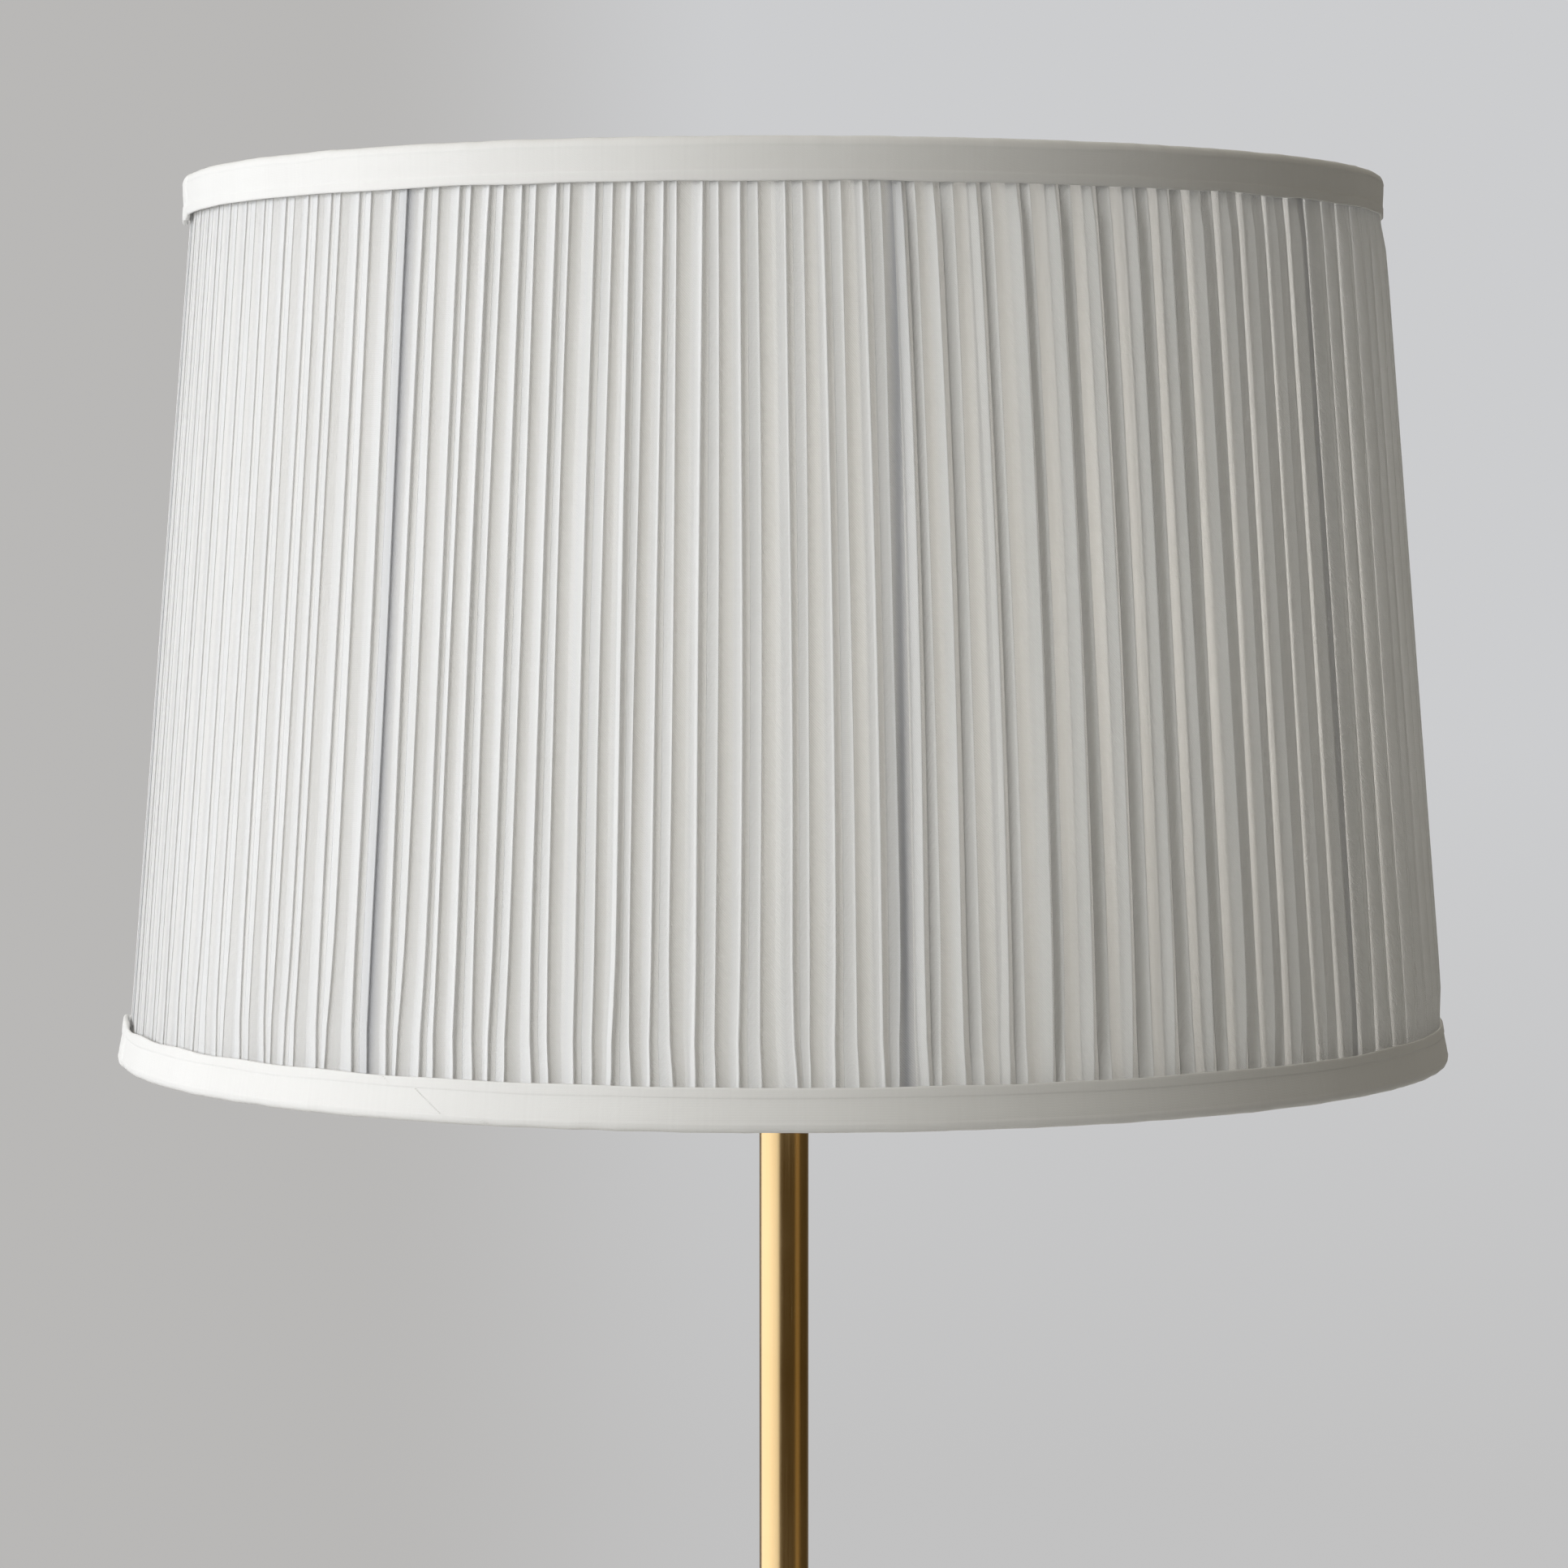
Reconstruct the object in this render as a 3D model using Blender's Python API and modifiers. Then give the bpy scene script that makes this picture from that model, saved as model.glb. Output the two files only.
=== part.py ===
"""Straight brass floor lamp with a tapered, pleated drum shade.

The stand is a weighted round foot, a three-piece tube and a socket with a turn switch.
A wire harp carries the shade by its spider, and a finial clamps it.
Everything is in metres with +Z up. The origin is on the floor, on the lamp's axis.
Round pieces are profiles of (radius, height), listed down the outside and up the inside.
"""
import math

import bmesh
import bpy

# ---------------------------------------------------------------- driving dimensions
GAP = 0.0003                  # clearance between neighbouring pieces

SHADE_BOTTOM = 1.200          # lowest edge of the shade above the floor
SHADE_HEIGHT = 0.300
SHADE_TOP_RADIUS = 0.2020     # outside of the pleated cover at the top edge
SHADE_BOTTOM_RADIUS = 0.2260  # outside of the pleated cover at the bottom edge
COVER_THICKNESS = 0.0014
LINING_THICKNESS = 0.0006
FRAME_WIRE = 0.0017           # radius of the two rings
STRUT_WIRE = 0.0015           # radius of the upright wires
STRUT_COUNT = 8
STRUT_START = math.radians(-125.4)   # azimuth of the first strut, from +X
ARM_COUNT = 4
ARM_WIRE = 0.0016
TRIM_WIDTH = 0.0135           # height of the binding on the outside
TRIM_THICKNESS = 0.0010
TRIM_BULGE = 0.0018           # how far the binding stands proud over the ring
TRIM_INSIDE = 0.0095          # height of the binding on the inside

POLE_RADIUS = 0.0085
POLE_WALL = 0.0012
POLE_BOTTOM = 0.0238
POLE_TOP = 1.2450
POLE_JOINTS = (0.4300, 0.8400)       # undersides of the two joint rings
JOINT_RING = 0.0040                  # visible height of a joint ring
JOINT_SPIGOT = 0.0140                # how deep it enters each tube

BASE_RADIUS = 0.1400
BASE_SHELL = 0.0012
BASE_CENTRE_HEIGHT = 0.0232
FELT_THICKNESS = 0.0025
WEIGHT_RADIUS = 0.1335
INLET_HEIGHT = 0.0062         # centre of the cord inlet above the floor
INLET_BORE = 0.0030

SADDLE_TOP = 1.2600           # the harp and the socket stand on this face
SADDLE_THICKNESS = 0.0020
NIPPLE_RADIUS = 0.0050
NIPPLE_BORE = 0.0036
HARP_WIRE = 0.0016
HARP_LEG_X = 0.0292
HARP_HEIGHT = 0.2125          # centre of the wire at its crown, above the saddle
SLEEVE_X = 0.0285
SOCKET_RADIUS = 0.0200
SWITCH_HEIGHT = 0.0310        # switch axis above the saddle
BULB_FOOT = 0.0450            # bulb contact above the saddle
STUD_RADIUS = 0.003175        # quarter-inch harp stud
HUB_BOTTOM = SADDLE_TOP + HARP_HEIGHT + HARP_WIRE + GAP + 0.0022 + GAP

SHADE_STEPS = 72
BASE_STEPS = 40
TUBE_STEPS = 24
SMALL_STEPS = 16

# ---------------------------------------------------------------- a clean scene
for old in list(bpy.data.objects):
    bpy.data.objects.remove(old, do_unlink=True)

PARTS = bpy.data.collections.new("floor_lamp")
CUTTERS = bpy.data.collections.new("floor_lamp_cutters")
bpy.context.scene.collection.children.link(PARTS)
bpy.context.scene.collection.children.link(CUTTERS)


# ---------------------------------------------------------------- materials
def material(name, colour, roughness, metallic=0.0, alpha=1.0):
    mat = bpy.data.materials.new(name)
    mat.use_nodes = True
    shader = mat.node_tree.nodes["Principled BSDF"]
    shader.inputs["Base Color"].default_value = (*colour, 1.0)
    shader.inputs["Roughness"].default_value = roughness
    shader.inputs["Metallic"].default_value = metallic
    shader.inputs["Alpha"].default_value = alpha
    return mat


FINISHES = {
    "satin_brass": ((0.72, 0.53, 0.27), 0.32, 1.0),
    "plain_brass": ((0.70, 0.54, 0.30), 0.40, 1.0),
    "cast_iron": ((0.07, 0.07, 0.07), 0.75, 0.6),
    "zinc_steel": ((0.62, 0.63, 0.64), 0.38, 1.0),
    "white_wire": ((0.80, 0.80, 0.79), 0.45, 0.0),
    "pleated_cloth": ((0.86, 0.84, 0.81), 0.90, 0.0),
    "lining_cloth": ((0.90, 0.89, 0.86), 0.85, 0.0),
    "binding_cloth": ((0.85, 0.83, 0.80), 0.88, 0.0),
    "black_felt": ((0.03, 0.03, 0.03), 0.95, 0.0),
    "black_rubber": ((0.03, 0.03, 0.03), 0.70, 0.0),
    "phenolic": ((0.04, 0.03, 0.03), 0.35, 0.0),
    "fibre_card": ((0.42, 0.33, 0.22), 0.90, 0.0),
    "nickel_cap": ((0.70, 0.69, 0.67), 0.30, 1.0),
    "frosted_glass": ((0.93, 0.93, 0.92), 0.35, 0.0),
}


def finish(obj, kind):
    """Give a piece a material of its own."""
    colour, roughness, metallic = FINISHES[kind]
    obj.data.materials.clear()
    obj.data.materials.append(material(obj.name + "_" + kind, colour, roughness, metallic))


# ---------------------------------------------------------------- modelling helpers
def axis(name, location=(0.0, 0.0, 0.0), rotation=(0.0, 0.0, 0.0)):
    """An empty that carries pieces and marks the line they move on."""
    empty = bpy.data.objects.new(name, None)
    empty.empty_display_size = 0.03
    empty.location = location
    empty.rotation_euler = rotation
    PARTS.objects.link(empty)
    return empty


def place(obj, kind, parent, location=(0.0, 0.0, 0.0), rotation=(0.0, 0.0, 0.0)):
    for collection in list(obj.users_collection):
        collection.objects.unlink(obj)
    PARTS.objects.link(obj)
    obj.parent = parent
    obj.location = location
    obj.rotation_euler = rotation
    if kind:
        finish(obj, kind)
    return obj


def turned(name, profile, kind, parent, steps, closed=True, location=(0.0, 0.0, 0.0)):
    """A solid of revolution: down the outside of the profile, then up the inside."""
    mesh = bpy.data.meshes.new(name)
    bm = bmesh.new()
    verts = [bm.verts.new((radius, 0.0, height)) for radius, height in profile]
    pairs = list(zip(verts, verts[1:]))
    if closed:
        pairs.append((verts[-1], verts[0]))
    for pair in pairs:
        bm.edges.new(pair)
    bm.to_mesh(mesh)
    bm.free()
    obj = bpy.data.objects.new(name, mesh)
    screw = obj.modifiers.new("turn", "SCREW")
    screw.angle = math.tau
    screw.steps = steps
    screw.render_steps = steps
    screw.use_merge_vertices = True
    screw.merge_threshold = 0.00001
    screw.use_smooth_shade = True
    return place(obj, kind, parent, location)


def ring(name, inner, outer, low, high, kind, parent, steps, location=(0.0, 0.0, 0.0)):
    """A plain tube or washer."""
    profile = [(outer, high), (outer, low), (inner, low), (inner, high)]
    return turned(name, profile, kind, parent, steps, location=location)


def wire(name, points, radius, kind, parent, rotation=(0.0, 0.0, 0.0), share=None):
    """A round wire along a list of points; share reuses another wire's curve."""
    if share is not None:
        obj = bpy.data.objects.new(name, share.data.copy())
        return place(obj, kind, parent, rotation=rotation)
    curve = bpy.data.curves.new(name, "CURVE")
    curve.dimensions = "3D"
    curve.bevel_depth = radius
    curve.bevel_resolution = 2
    curve.use_fill_caps = True
    spline = curve.splines.new("POLY")
    spline.points.add(len(points) - 1)
    for point, co in zip(spline.points, points):
        point.co = (*co, 1.0)
        point.radius = 1.0
    spline.use_smooth = True
    obj = bpy.data.objects.new(name, curve)
    return place(obj, kind, parent, rotation=rotation)


def plate(name, outlines, low, high, kind, parent):
    """A flat piece from outlines in plan; the second outline is a hole."""
    curve = bpy.data.curves.new(name, "CURVE")
    curve.dimensions = "2D"
    curve.fill_mode = "BOTH"
    curve.extrude = (high - low) / 2
    for outline in outlines:
        spline = curve.splines.new("POLY")
        spline.points.add(len(outline) - 1)
        for point, (x, y) in zip(spline.points, outline):
            point.co = (x, y, 0.0, 1.0)
        spline.use_cyclic_u = True
    obj = bpy.data.objects.new(name, curve)
    return place(obj, kind, parent, location=(0.0, 0.0, (low + high) / 2))


def polygon(radius, sides, turn=0.0):
    """The corners of a regular outline in plan."""
    step = math.tau / sides
    return [(radius * math.cos(turn + step * i), radius * math.sin(turn + step * i))
            for i in range(sides)]


def box(name, low, high, collection):
    """A box between two corners, with its size in the mesh and not in its scale."""
    mesh = bpy.data.meshes.new(name)
    bm = bmesh.new()
    bmesh.ops.create_cube(bm, size=1.0)
    for vert in bm.verts:
        for i in range(3):
            vert.co[i] = low[i] + (vert.co[i] + 0.5) * (high[i] - low[i])
    bm.to_mesh(mesh)
    bm.free()
    obj = bpy.data.objects.new(name, mesh)
    collection.objects.link(obj)
    return obj


def rod_mesh(name, radius, low, high, sides):
    """A cylinder along its own Z, between two heights."""
    mesh = bpy.data.meshes.new(name)
    bm = bmesh.new()
    bmesh.ops.create_cone(bm, cap_ends=True, segments=sides, radius1=radius,
                          radius2=radius, depth=high - low)
    for vert in bm.verts:
        vert.co.z += (low + high) / 2
    bm.to_mesh(mesh)
    bm.free()
    return mesh


def as_cutter(obj, parent=None):
    obj.hide_render = True
    obj.display_type = "WIRE"
    obj.parent = parent
    return obj


def cut(target, tool, operation="DIFFERENCE"):
    modifier = target.modifiers.new(tool.name, "BOOLEAN")
    modifier.operation = operation
    modifier.solver = "EXACT"
    modifier.object = tool


def smooth_curve(control, per_span):
    """Catmull-Rom points through a list of (x, z) controls."""
    points = []
    padded = [control[0], *control, control[-1]]
    for i in range(len(control) - 1):
        p0, p1, p2, p3 = padded[i:i + 4]
        for j in range(per_span):
            t = j / per_span
            point = []
            for a, b, c, d in zip(p0, p1, p2, p3):
                value = 2 * b + (c - a) * t + (2 * a - 5 * b + 4 * c - d) * t * t
                value += (3 * b - a - 3 * c + d) * t ** 3
                point.append(value / 2)
            points.append(tuple(point))
    points.append(control[-1])
    return points


# ---------------------------------------------------------------- axes
stand = axis("stand_axis")
head = axis("head_axis", (0.0, 0.0, SADDLE_TOP))
shade = axis("shade_turn_axis", (0.0, 0.0, SHADE_BOTTOM))
finial_axis = axis("finial_turn_axis", (0.0, 0.0, HUB_BOTTOM + 0.0020 + GAP))
bulb_axis = axis("bulb_turn_axis", (0.0, 0.0, SADDLE_TOP + BULB_FOOT))
switch_axis = axis("switch_turn_axis", (0.0, 0.0, SADDLE_TOP + SWITCH_HEIGHT),
                   (math.pi / 2, 0.0, 0.0))

# ---------------------------------------------------------------- foot
# A full felt disc on the floor, an iron weight on it and a spun brass dish over both.
felt_profile = [(0.0, FELT_THICKNESS), (0.1340, FELT_THICKNESS), (0.1340, 0.0), (0.0, 0.0)]
turned("base_felt", felt_profile, "black_felt", stand, BASE_STEPS, closed=False)

weight_low = FELT_THICKNESS + GAP
recess_top = 0.0098
recess_radius = 0.0190
weight = turned("base_weight", [
    (NIPPLE_RADIUS + 0.0004, 0.0190),
    (0.1270, 0.0172),
    (WEIGHT_RADIUS, 0.0136),
    (WEIGHT_RADIUS, weight_low),
    (recess_radius, weight_low),
    (recess_radius, recess_top),
    (NIPPLE_RADIUS + 0.0004, recess_top),
], "cast_iron", stand, BASE_STEPS)
cord_groove = as_cutter(box("cord_groove", (-0.0045, recess_radius - 0.004, 0.0),
                            (0.0045, BASE_RADIUS, 0.0116), CUTTERS))
cut(weight, cord_groove)

ring("base_washer", NIPPLE_RADIUS + 0.0004, 0.0150, 0.0078, 0.0095, "zinc_steel",
     stand, TUBE_STEPS)
plate("base_nut", [polygon(0.0095, 6), polygon(NIPPLE_RADIUS + 0.0004, 24)],
      0.0031, 0.0075, "zinc_steel", stand)
ring("base_nipple", NIPPLE_BORE, NIPPLE_RADIUS, 0.0032, 0.0390, "zinc_steel",
     stand, SMALL_STEPS)

dish_out = [
    (NIPPLE_RADIUS + 0.0007, BASE_CENTRE_HEIGHT),
    (0.0750, 0.0222),
    (0.1270, 0.0198),
    (0.1352, 0.0176),
    (0.1388, 0.0148),
    (BASE_RADIUS, 0.0112),
    (BASE_RADIUS, 0.0010),
]
dish_in = [
    (BASE_RADIUS - BASE_SHELL, 0.0010),
    (BASE_RADIUS - BASE_SHELL, 0.0110),
    (0.1368, 0.0151),
    (0.1265, 0.0186),
    (0.0750, 0.0210),
    (NIPPLE_RADIUS + 0.0007, BASE_CENTRE_HEIGHT - BASE_SHELL),
]
dish = turned("base_cover", dish_out + dish_in, "satin_brass", stand, BASE_STEPS)
inlet_hole = bpy.data.objects.new("inlet_hole", rod_mesh("inlet_hole", 0.0041, -0.01, 0.01, 24))
CUTTERS.objects.link(inlet_hole)
inlet_hole.location = (0.0, BASE_RADIUS, INLET_HEIGHT)
inlet_hole.rotation_euler = (math.pi / 2, 0.0, 0.0)
as_cutter(inlet_hole)
cut(dish, inlet_hole)

# Rubber bushing in the back of the dish, where the cord would enter.
bushing_in = BASE_RADIUS - BASE_SHELL - 0.0008
bushing = turned("cord_bushing", [
    (0.0045, 0.0022),
    (0.0049, 0.0004),
    (0.0038, 0.0004),
    (0.0038, bushing_in - BASE_RADIUS),
    (0.0047, bushing_in - BASE_RADIUS),
    (0.0047, bushing_in - BASE_RADIUS - 0.0014),
    (INLET_BORE, bushing_in - BASE_RADIUS - 0.0014),
    (INLET_BORE, 0.0022),
], "black_rubber", stand, SMALL_STEPS, location=(0.0, BASE_RADIUS, INLET_HEIGHT))
bushing.rotation_euler = (-math.pi / 2, 0.0, 0.0)

collar_low = BASE_CENTRE_HEIGHT + 0.0004
turned("base_collar", [
    (0.0104, 0.0490),
    (0.0108, 0.0450),
    (0.0102, 0.0430),
    (0.0130, 0.0375),
    (0.0190, 0.0305),
    (0.0252, 0.0274),
    (0.0262, 0.0258),
    (0.0262, collar_low),
    (POLE_RADIUS + GAP, collar_low),
    (POLE_RADIUS + GAP, 0.0490),
], "satin_brass", stand, TUBE_STEPS)

# ---------------------------------------------------------------- pole
bore = POLE_RADIUS - POLE_WALL
plug = bore - GAP
ring("pole_foot_insert", NIPPLE_RADIUS + GAP, plug, 0.0240, 0.0440, "plain_brass",
     stand, TUBE_STEPS)

tube_ends = [POLE_BOTTOM]
for low in POLE_JOINTS:
    tube_ends += [low - GAP, low + JOINT_RING + GAP]
tube_ends.append(POLE_TOP)
for i, name in enumerate(("pole_lower", "pole_middle", "pole_upper")):
    ring(name, bore, POLE_RADIUS, tube_ends[2 * i], tube_ends[2 * i + 1], "satin_brass",
         stand, TUBE_STEPS)

for i, low in enumerate(POLE_JOINTS):
    high = low + JOINT_RING
    turned("pole_joint_%d" % (i + 1), [
        (plug, high + JOINT_SPIGOT),
        (plug, high),
        (POLE_RADIUS + 0.0006, high),
        (POLE_RADIUS + 0.0006, low),
        (plug, low),
        (plug, low - JOINT_SPIGOT),
        (0.0048, low - JOINT_SPIGOT),
        (0.0048, high + JOINT_SPIGOT),
    ], "satin_brass", stand, TUBE_STEPS)

ring("pole_head_insert", NIPPLE_RADIUS + GAP, plug, POLE_TOP - 0.0180, POLE_TOP - GAP,
     "plain_brass", stand, TUBE_STEPS)

# ---------------------------------------------------------------- head: neck, saddle, socket
saddle_low = -SADDLE_THICKNESS
neck_low = POLE_TOP + GAP - SADDLE_TOP
turned("neck_cap", [
    (0.0110, saddle_low - GAP),
    (0.0115, saddle_low - GAP - 0.0012),
    (0.0095, saddle_low - GAP - 0.0040),
    (0.0088, neck_low + 0.0040),
    (0.0098, neck_low + 0.0025),
    (0.0098, neck_low),
    (NIPPLE_RADIUS + GAP, neck_low),
    (NIPPLE_RADIUS + GAP, saddle_low - GAP),
], "satin_brass", head, TUBE_STEPS)
ring("neck_nipple", NIPPLE_BORE, NIPPLE_RADIUS, POLE_TOP - 0.0170 - SADDLE_TOP, 0.0080,
     "zinc_steel", head, SMALL_STEPS)

# Saddle: a strip with a turned-up tab at each end for the harp's feet.
tab_x = HARP_LEG_X - HARP_WIRE - GAP
saddle = box("harp_saddle", (-tab_x, -0.0060, saddle_low), (tab_x, 0.0060, 0.0), PARTS)
place(saddle, "zinc_steel", head)
for side, label in ((-1, "left"), (1, "right")):
    tab = box("saddle_tab_" + label,
              (min(side * tab_x, side * (tab_x - 0.0012)), -0.0020, saddle_low / 2),
              (max(side * tab_x, side * (tab_x - 0.0012)), 0.0020, 0.0160), CUTTERS)
    as_cutter(tab, head)
    cut(saddle, tab, "UNION")
saddle_hole = bpy.data.objects.new("saddle_hole", rod_mesh(
    "saddle_hole", NIPPLE_RADIUS + GAP, saddle_low - 0.002, 0.002, TUBE_STEPS))
CUTTERS.objects.link(saddle_hole)
as_cutter(saddle_hole, head)
cut(saddle, saddle_hole)

turned("socket_cap", [
    (SOCKET_RADIUS + 0.0003, 0.0250),
    (SOCKET_RADIUS + 0.0003, 0.0205),
    (0.0160, 0.0098),
    (0.0085, GAP),
    (NIPPLE_RADIUS + GAP, GAP),
    (NIPPLE_RADIUS + GAP, 0.0014),
    (0.0082, 0.0024),
    (0.0150, 0.0109),
    (SOCKET_RADIUS - 0.0006, 0.0210),
    (SOCKET_RADIUS - 0.0006, 0.0250),
], "plain_brass", head, TUBE_STEPS)
shell = turned("socket_shell", [
    (SOCKET_RADIUS, 0.0680),
    (SOCKET_RADIUS, 0.0650),
    (SOCKET_RADIUS - 0.0005, 0.0640),
    (SOCKET_RADIUS - 0.0005, 0.0300),
    (SOCKET_RADIUS, 0.0285),
    (SOCKET_RADIUS, 0.0253),
    (SOCKET_RADIUS - 0.0012, 0.0253),
    (SOCKET_RADIUS - 0.0012, 0.0680),
], "plain_brass", head, TUBE_STEPS)
liner = ring("socket_liner", SOCKET_RADIUS - 0.0021, SOCKET_RADIUS - 0.0015, 0.0260, 0.0670,
             "fibre_card", head, TUBE_STEPS)
core = turned("socket_core", [
    (0.0, 0.0408),
    (0.0160, 0.0408),
    (0.0172, 0.0396),
    (0.0172, 0.0220),
    (0.0140, 0.0170),
    (0.0060, 0.0100),
    (0.0, 0.0100),
], "phenolic", head, TUBE_STEPS, closed=False)
ring("socket_screw_shell", 0.01335, 0.01375, 0.0411, 0.0660, "plain_brass", head, TUBE_STEPS)
turned("socket_contact", [(0.0, 0.0446), (0.0030, 0.0444), (0.0046, 0.0430), (0.0046, 0.0411),
                          (0.0, 0.0411)], "plain_brass", head, 16, closed=False)

# Turn switch: a stem through the shell, with a ribbed knob on it.
for radius, near, far, target in ((0.0021, 0.0165, 0.0300, shell), (0.0021, 0.0165, 0.0300, liner),
                                  (0.0020, 0.0075, 0.0300, core)):
    name = target.name + "_stem_hole"
    hole = bpy.data.objects.new(name, rod_mesh(name, radius, near, far, 16))
    CUTTERS.objects.link(hole)
    as_cutter(hole, switch_axis)
    cut(target, hole)
stem = bpy.data.objects.new("switch_stem", rod_mesh("switch_stem", 0.0016, 0.0080, 0.0257, 16))
place(stem, "plain_brass", switch_axis)
rib_count = 10
knob_outline = []
for i in range(rib_count * 4):
    turn = math.tau * i / (rib_count * 4)
    radius = 0.0054 + 0.0004 * math.cos(rib_count * turn)
    knob_outline.append((radius * math.cos(turn), radius * math.sin(turn)))
plate("switch_knob", [knob_outline], 0.0260, 0.0360, "phenolic", switch_axis)

# ---------------------------------------------------------------- harp
half_harp = smooth_curve([
    (HARP_LEG_X, 0.0040),
    (HARP_LEG_X, 0.0170),
    (HARP_LEG_X, 0.0310),
    (0.0375, 0.0520),
    (0.0500, 0.0820),
    (0.0565, 0.1220),
    (0.0520, 0.1620),
    (0.0370, 0.1930),
    (0.0185, 0.2085),
    (0.0060, HARP_HEIGHT),
    (0.0, HARP_HEIGHT),
], 3)
harp_points = [(x, 0.0, z) for x, z in half_harp]
harp_points += [(-x, 0.0, z) for x, z in reversed(half_harp[:-1])]
wire("harp_wire", harp_points, HARP_WIRE, "plain_brass", head)

stud_low = HARP_HEIGHT + HARP_WIRE + GAP
turned("harp_stud", [
    (0.0, stud_low + 0.0185),
    (STUD_RADIUS - 0.0006, stud_low + 0.0185),
    (STUD_RADIUS, stud_low + 0.0178),
    (STUD_RADIUS, stud_low + 0.0022),
    (0.0062, stud_low + 0.0022),
    (0.0062, stud_low + 0.0006),
    (0.0050, stud_low),
    (0.0, stud_low),
], "plain_brass", head, TUBE_STEPS, closed=False)

for side, label in ((-1, "left"), (1, "right")):
    sleeve_axis = axis("harp_sleeve_%s_axis" % label, (side * SLEEVE_X, 0.0, SADDLE_TOP))
    turned("harp_sleeve_" + label, [
        (0.0042, 0.0160),
        (0.0042, 0.0050),
        (0.0046, 0.0045),
        (0.0046, 0.0035),
        (0.0034, 0.0035),
        (0.0034, 0.0160),
    ], "plain_brass", sleeve_axis, SMALL_STEPS)

# ---------------------------------------------------------------- bulb
turned("bulb_foot", [(0.0, 0.0), (0.0030, 0.0004), (0.0044, 0.0016), (0.0, 0.0016)][::-1],
       "nickel_cap", bulb_axis, 16, closed=False)
turned("bulb_insulator", [
    (0.0, 0.0052),
    (0.0112, 0.0052),
    (0.0104, 0.0036),
    (0.0060, 0.0019),
    (0.0, 0.0019),
], "phenolic", bulb_axis, TUBE_STEPS, closed=False)
turned("bulb_cap", [
    (0.0, 0.0260),
    (0.0126, 0.0260),
    (0.0130, 0.0245),
    (0.0130, 0.0085),
    (0.0114, 0.0055),
    (0.0, 0.0055),
], "nickel_cap", bulb_axis, TUBE_STEPS, closed=False)

globe_out = []
globe_centre = 0.0770
globe_radius = 0.0300
for i in range(8):
    turn = math.radians(90 - 16 * i)
    globe_out.append((globe_radius * math.cos(turn), globe_centre + globe_radius * math.sin(turn)))
globe_out[0] = (0.0, globe_centre + globe_radius)
globe_out += [(0.0220, 0.0515), (0.0162, 0.0385), (0.0138, 0.0263)]
glass = 0.0010
globe_in = []
for radius, height in reversed(globe_out[1:-3]):
    scale = (globe_radius - glass) / globe_radius
    globe_in.append((radius * scale, globe_centre + (height - globe_centre) * scale))
neck_in = [(radius - glass, height) for radius, height in reversed(globe_out[-3:])]
globe_in.append((0.0, globe_centre + globe_radius - glass))
turned("bulb_globe", globe_out + neck_in + globe_in, "frosted_glass", bulb_axis, TUBE_STEPS,
       closed=False)


# ---------------------------------------------------------------- shade
def cover_radius(height):
    """Outside radius of the pleated cover at a height above the shade's lower edge."""
    share = height / SHADE_HEIGHT
    return SHADE_BOTTOM_RADIUS + (SHADE_TOP_RADIUS - SHADE_BOTTOM_RADIUS) * share


def cone_ring(name, outer_inset, thickness, low, high, kind):
    """A thin conical wall, set in from the cover's outside."""
    turned(name, [
        (cover_radius(high) - outer_inset, high),
        (cover_radius(low) - outer_inset, low),
        (cover_radius(low) - outer_inset - thickness, low),
        (cover_radius(high) - outer_inset - thickness, high),
    ], kind, shade, SHADE_STEPS)


edge = TRIM_THICKNESS + GAP                       # cloth edges stop short of the binding
wire_inset = COVER_THICKNESS + GAP + FRAME_WIRE   # centre of the rings and struts
lining_inset = wire_inset + FRAME_WIRE + GAP
ring_low = edge + FRAME_WIRE
ring_high = SHADE_HEIGHT - ring_low

cone_ring("shade_cover", 0.0, COVER_THICKNESS, edge, SHADE_HEIGHT - edge, "pleated_cloth")
cone_ring("shade_lining", lining_inset, LINING_THICKNESS, edge, ring_high - ARM_WIRE - 0.0012,
          "lining_cloth")

for name, height in (("shade_bottom_ring", ring_low), ("shade_top_ring", ring_high)):
    bpy.ops.mesh.primitive_torus_add(major_segments=SHADE_STEPS, minor_segments=6,
                                     major_radius=cover_radius(height) - wire_inset,
                                     minor_radius=FRAME_WIRE)
    torus = bpy.context.object
    torus.name = name
    torus.data.name = name
    torus.data.shade_smooth()
    place(torus, "white_wire", shade, location=(0.0, 0.0, height))

strut_low = ring_low + FRAME_WIRE + GAP
strut_high = ring_high - FRAME_WIRE - GAP
strut_line = [(cover_radius(height) - wire_inset, 0.0, height)
              for height in (strut_low, strut_high)]
first = None
for i in range(STRUT_COUNT):
    turn = (0.0, 0.0, STRUT_START + math.tau * i / STRUT_COUNT)
    strut = wire("shade_strut_%d" % (i + 1), strut_line, STRUT_WIRE, "white_wire", shade,
                 rotation=turn, share=first)
    first = first or strut

# Spider: a washer at the centre and four cranked arms that end on the top ring.
hub_low = HUB_BOTTOM - SHADE_BOTTOM
hub_high = hub_low + 0.0020
ring("spider_hub", STUD_RADIUS + 0.0004, 0.0110, hub_low, hub_high, "zinc_steel", shade,
     TUBE_STEPS)
arm_low = (hub_low + hub_high) / 2
arm_end = cover_radius(ring_high) - wire_inset - FRAME_WIRE - GAP
arm_line = [(0.0110 + GAP, 0.0, arm_low), (0.0220, 0.0, arm_low), (0.0265, 0.0, arm_low + 0.0010),
            (0.0300, 0.0, arm_low + 0.0035), (0.0390, 0.0, ring_high - 0.0035),
            (0.0425, 0.0, ring_high - 0.0010), (0.0470, 0.0, ring_high),
            (arm_end, 0.0, ring_high)]
first = None
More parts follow.
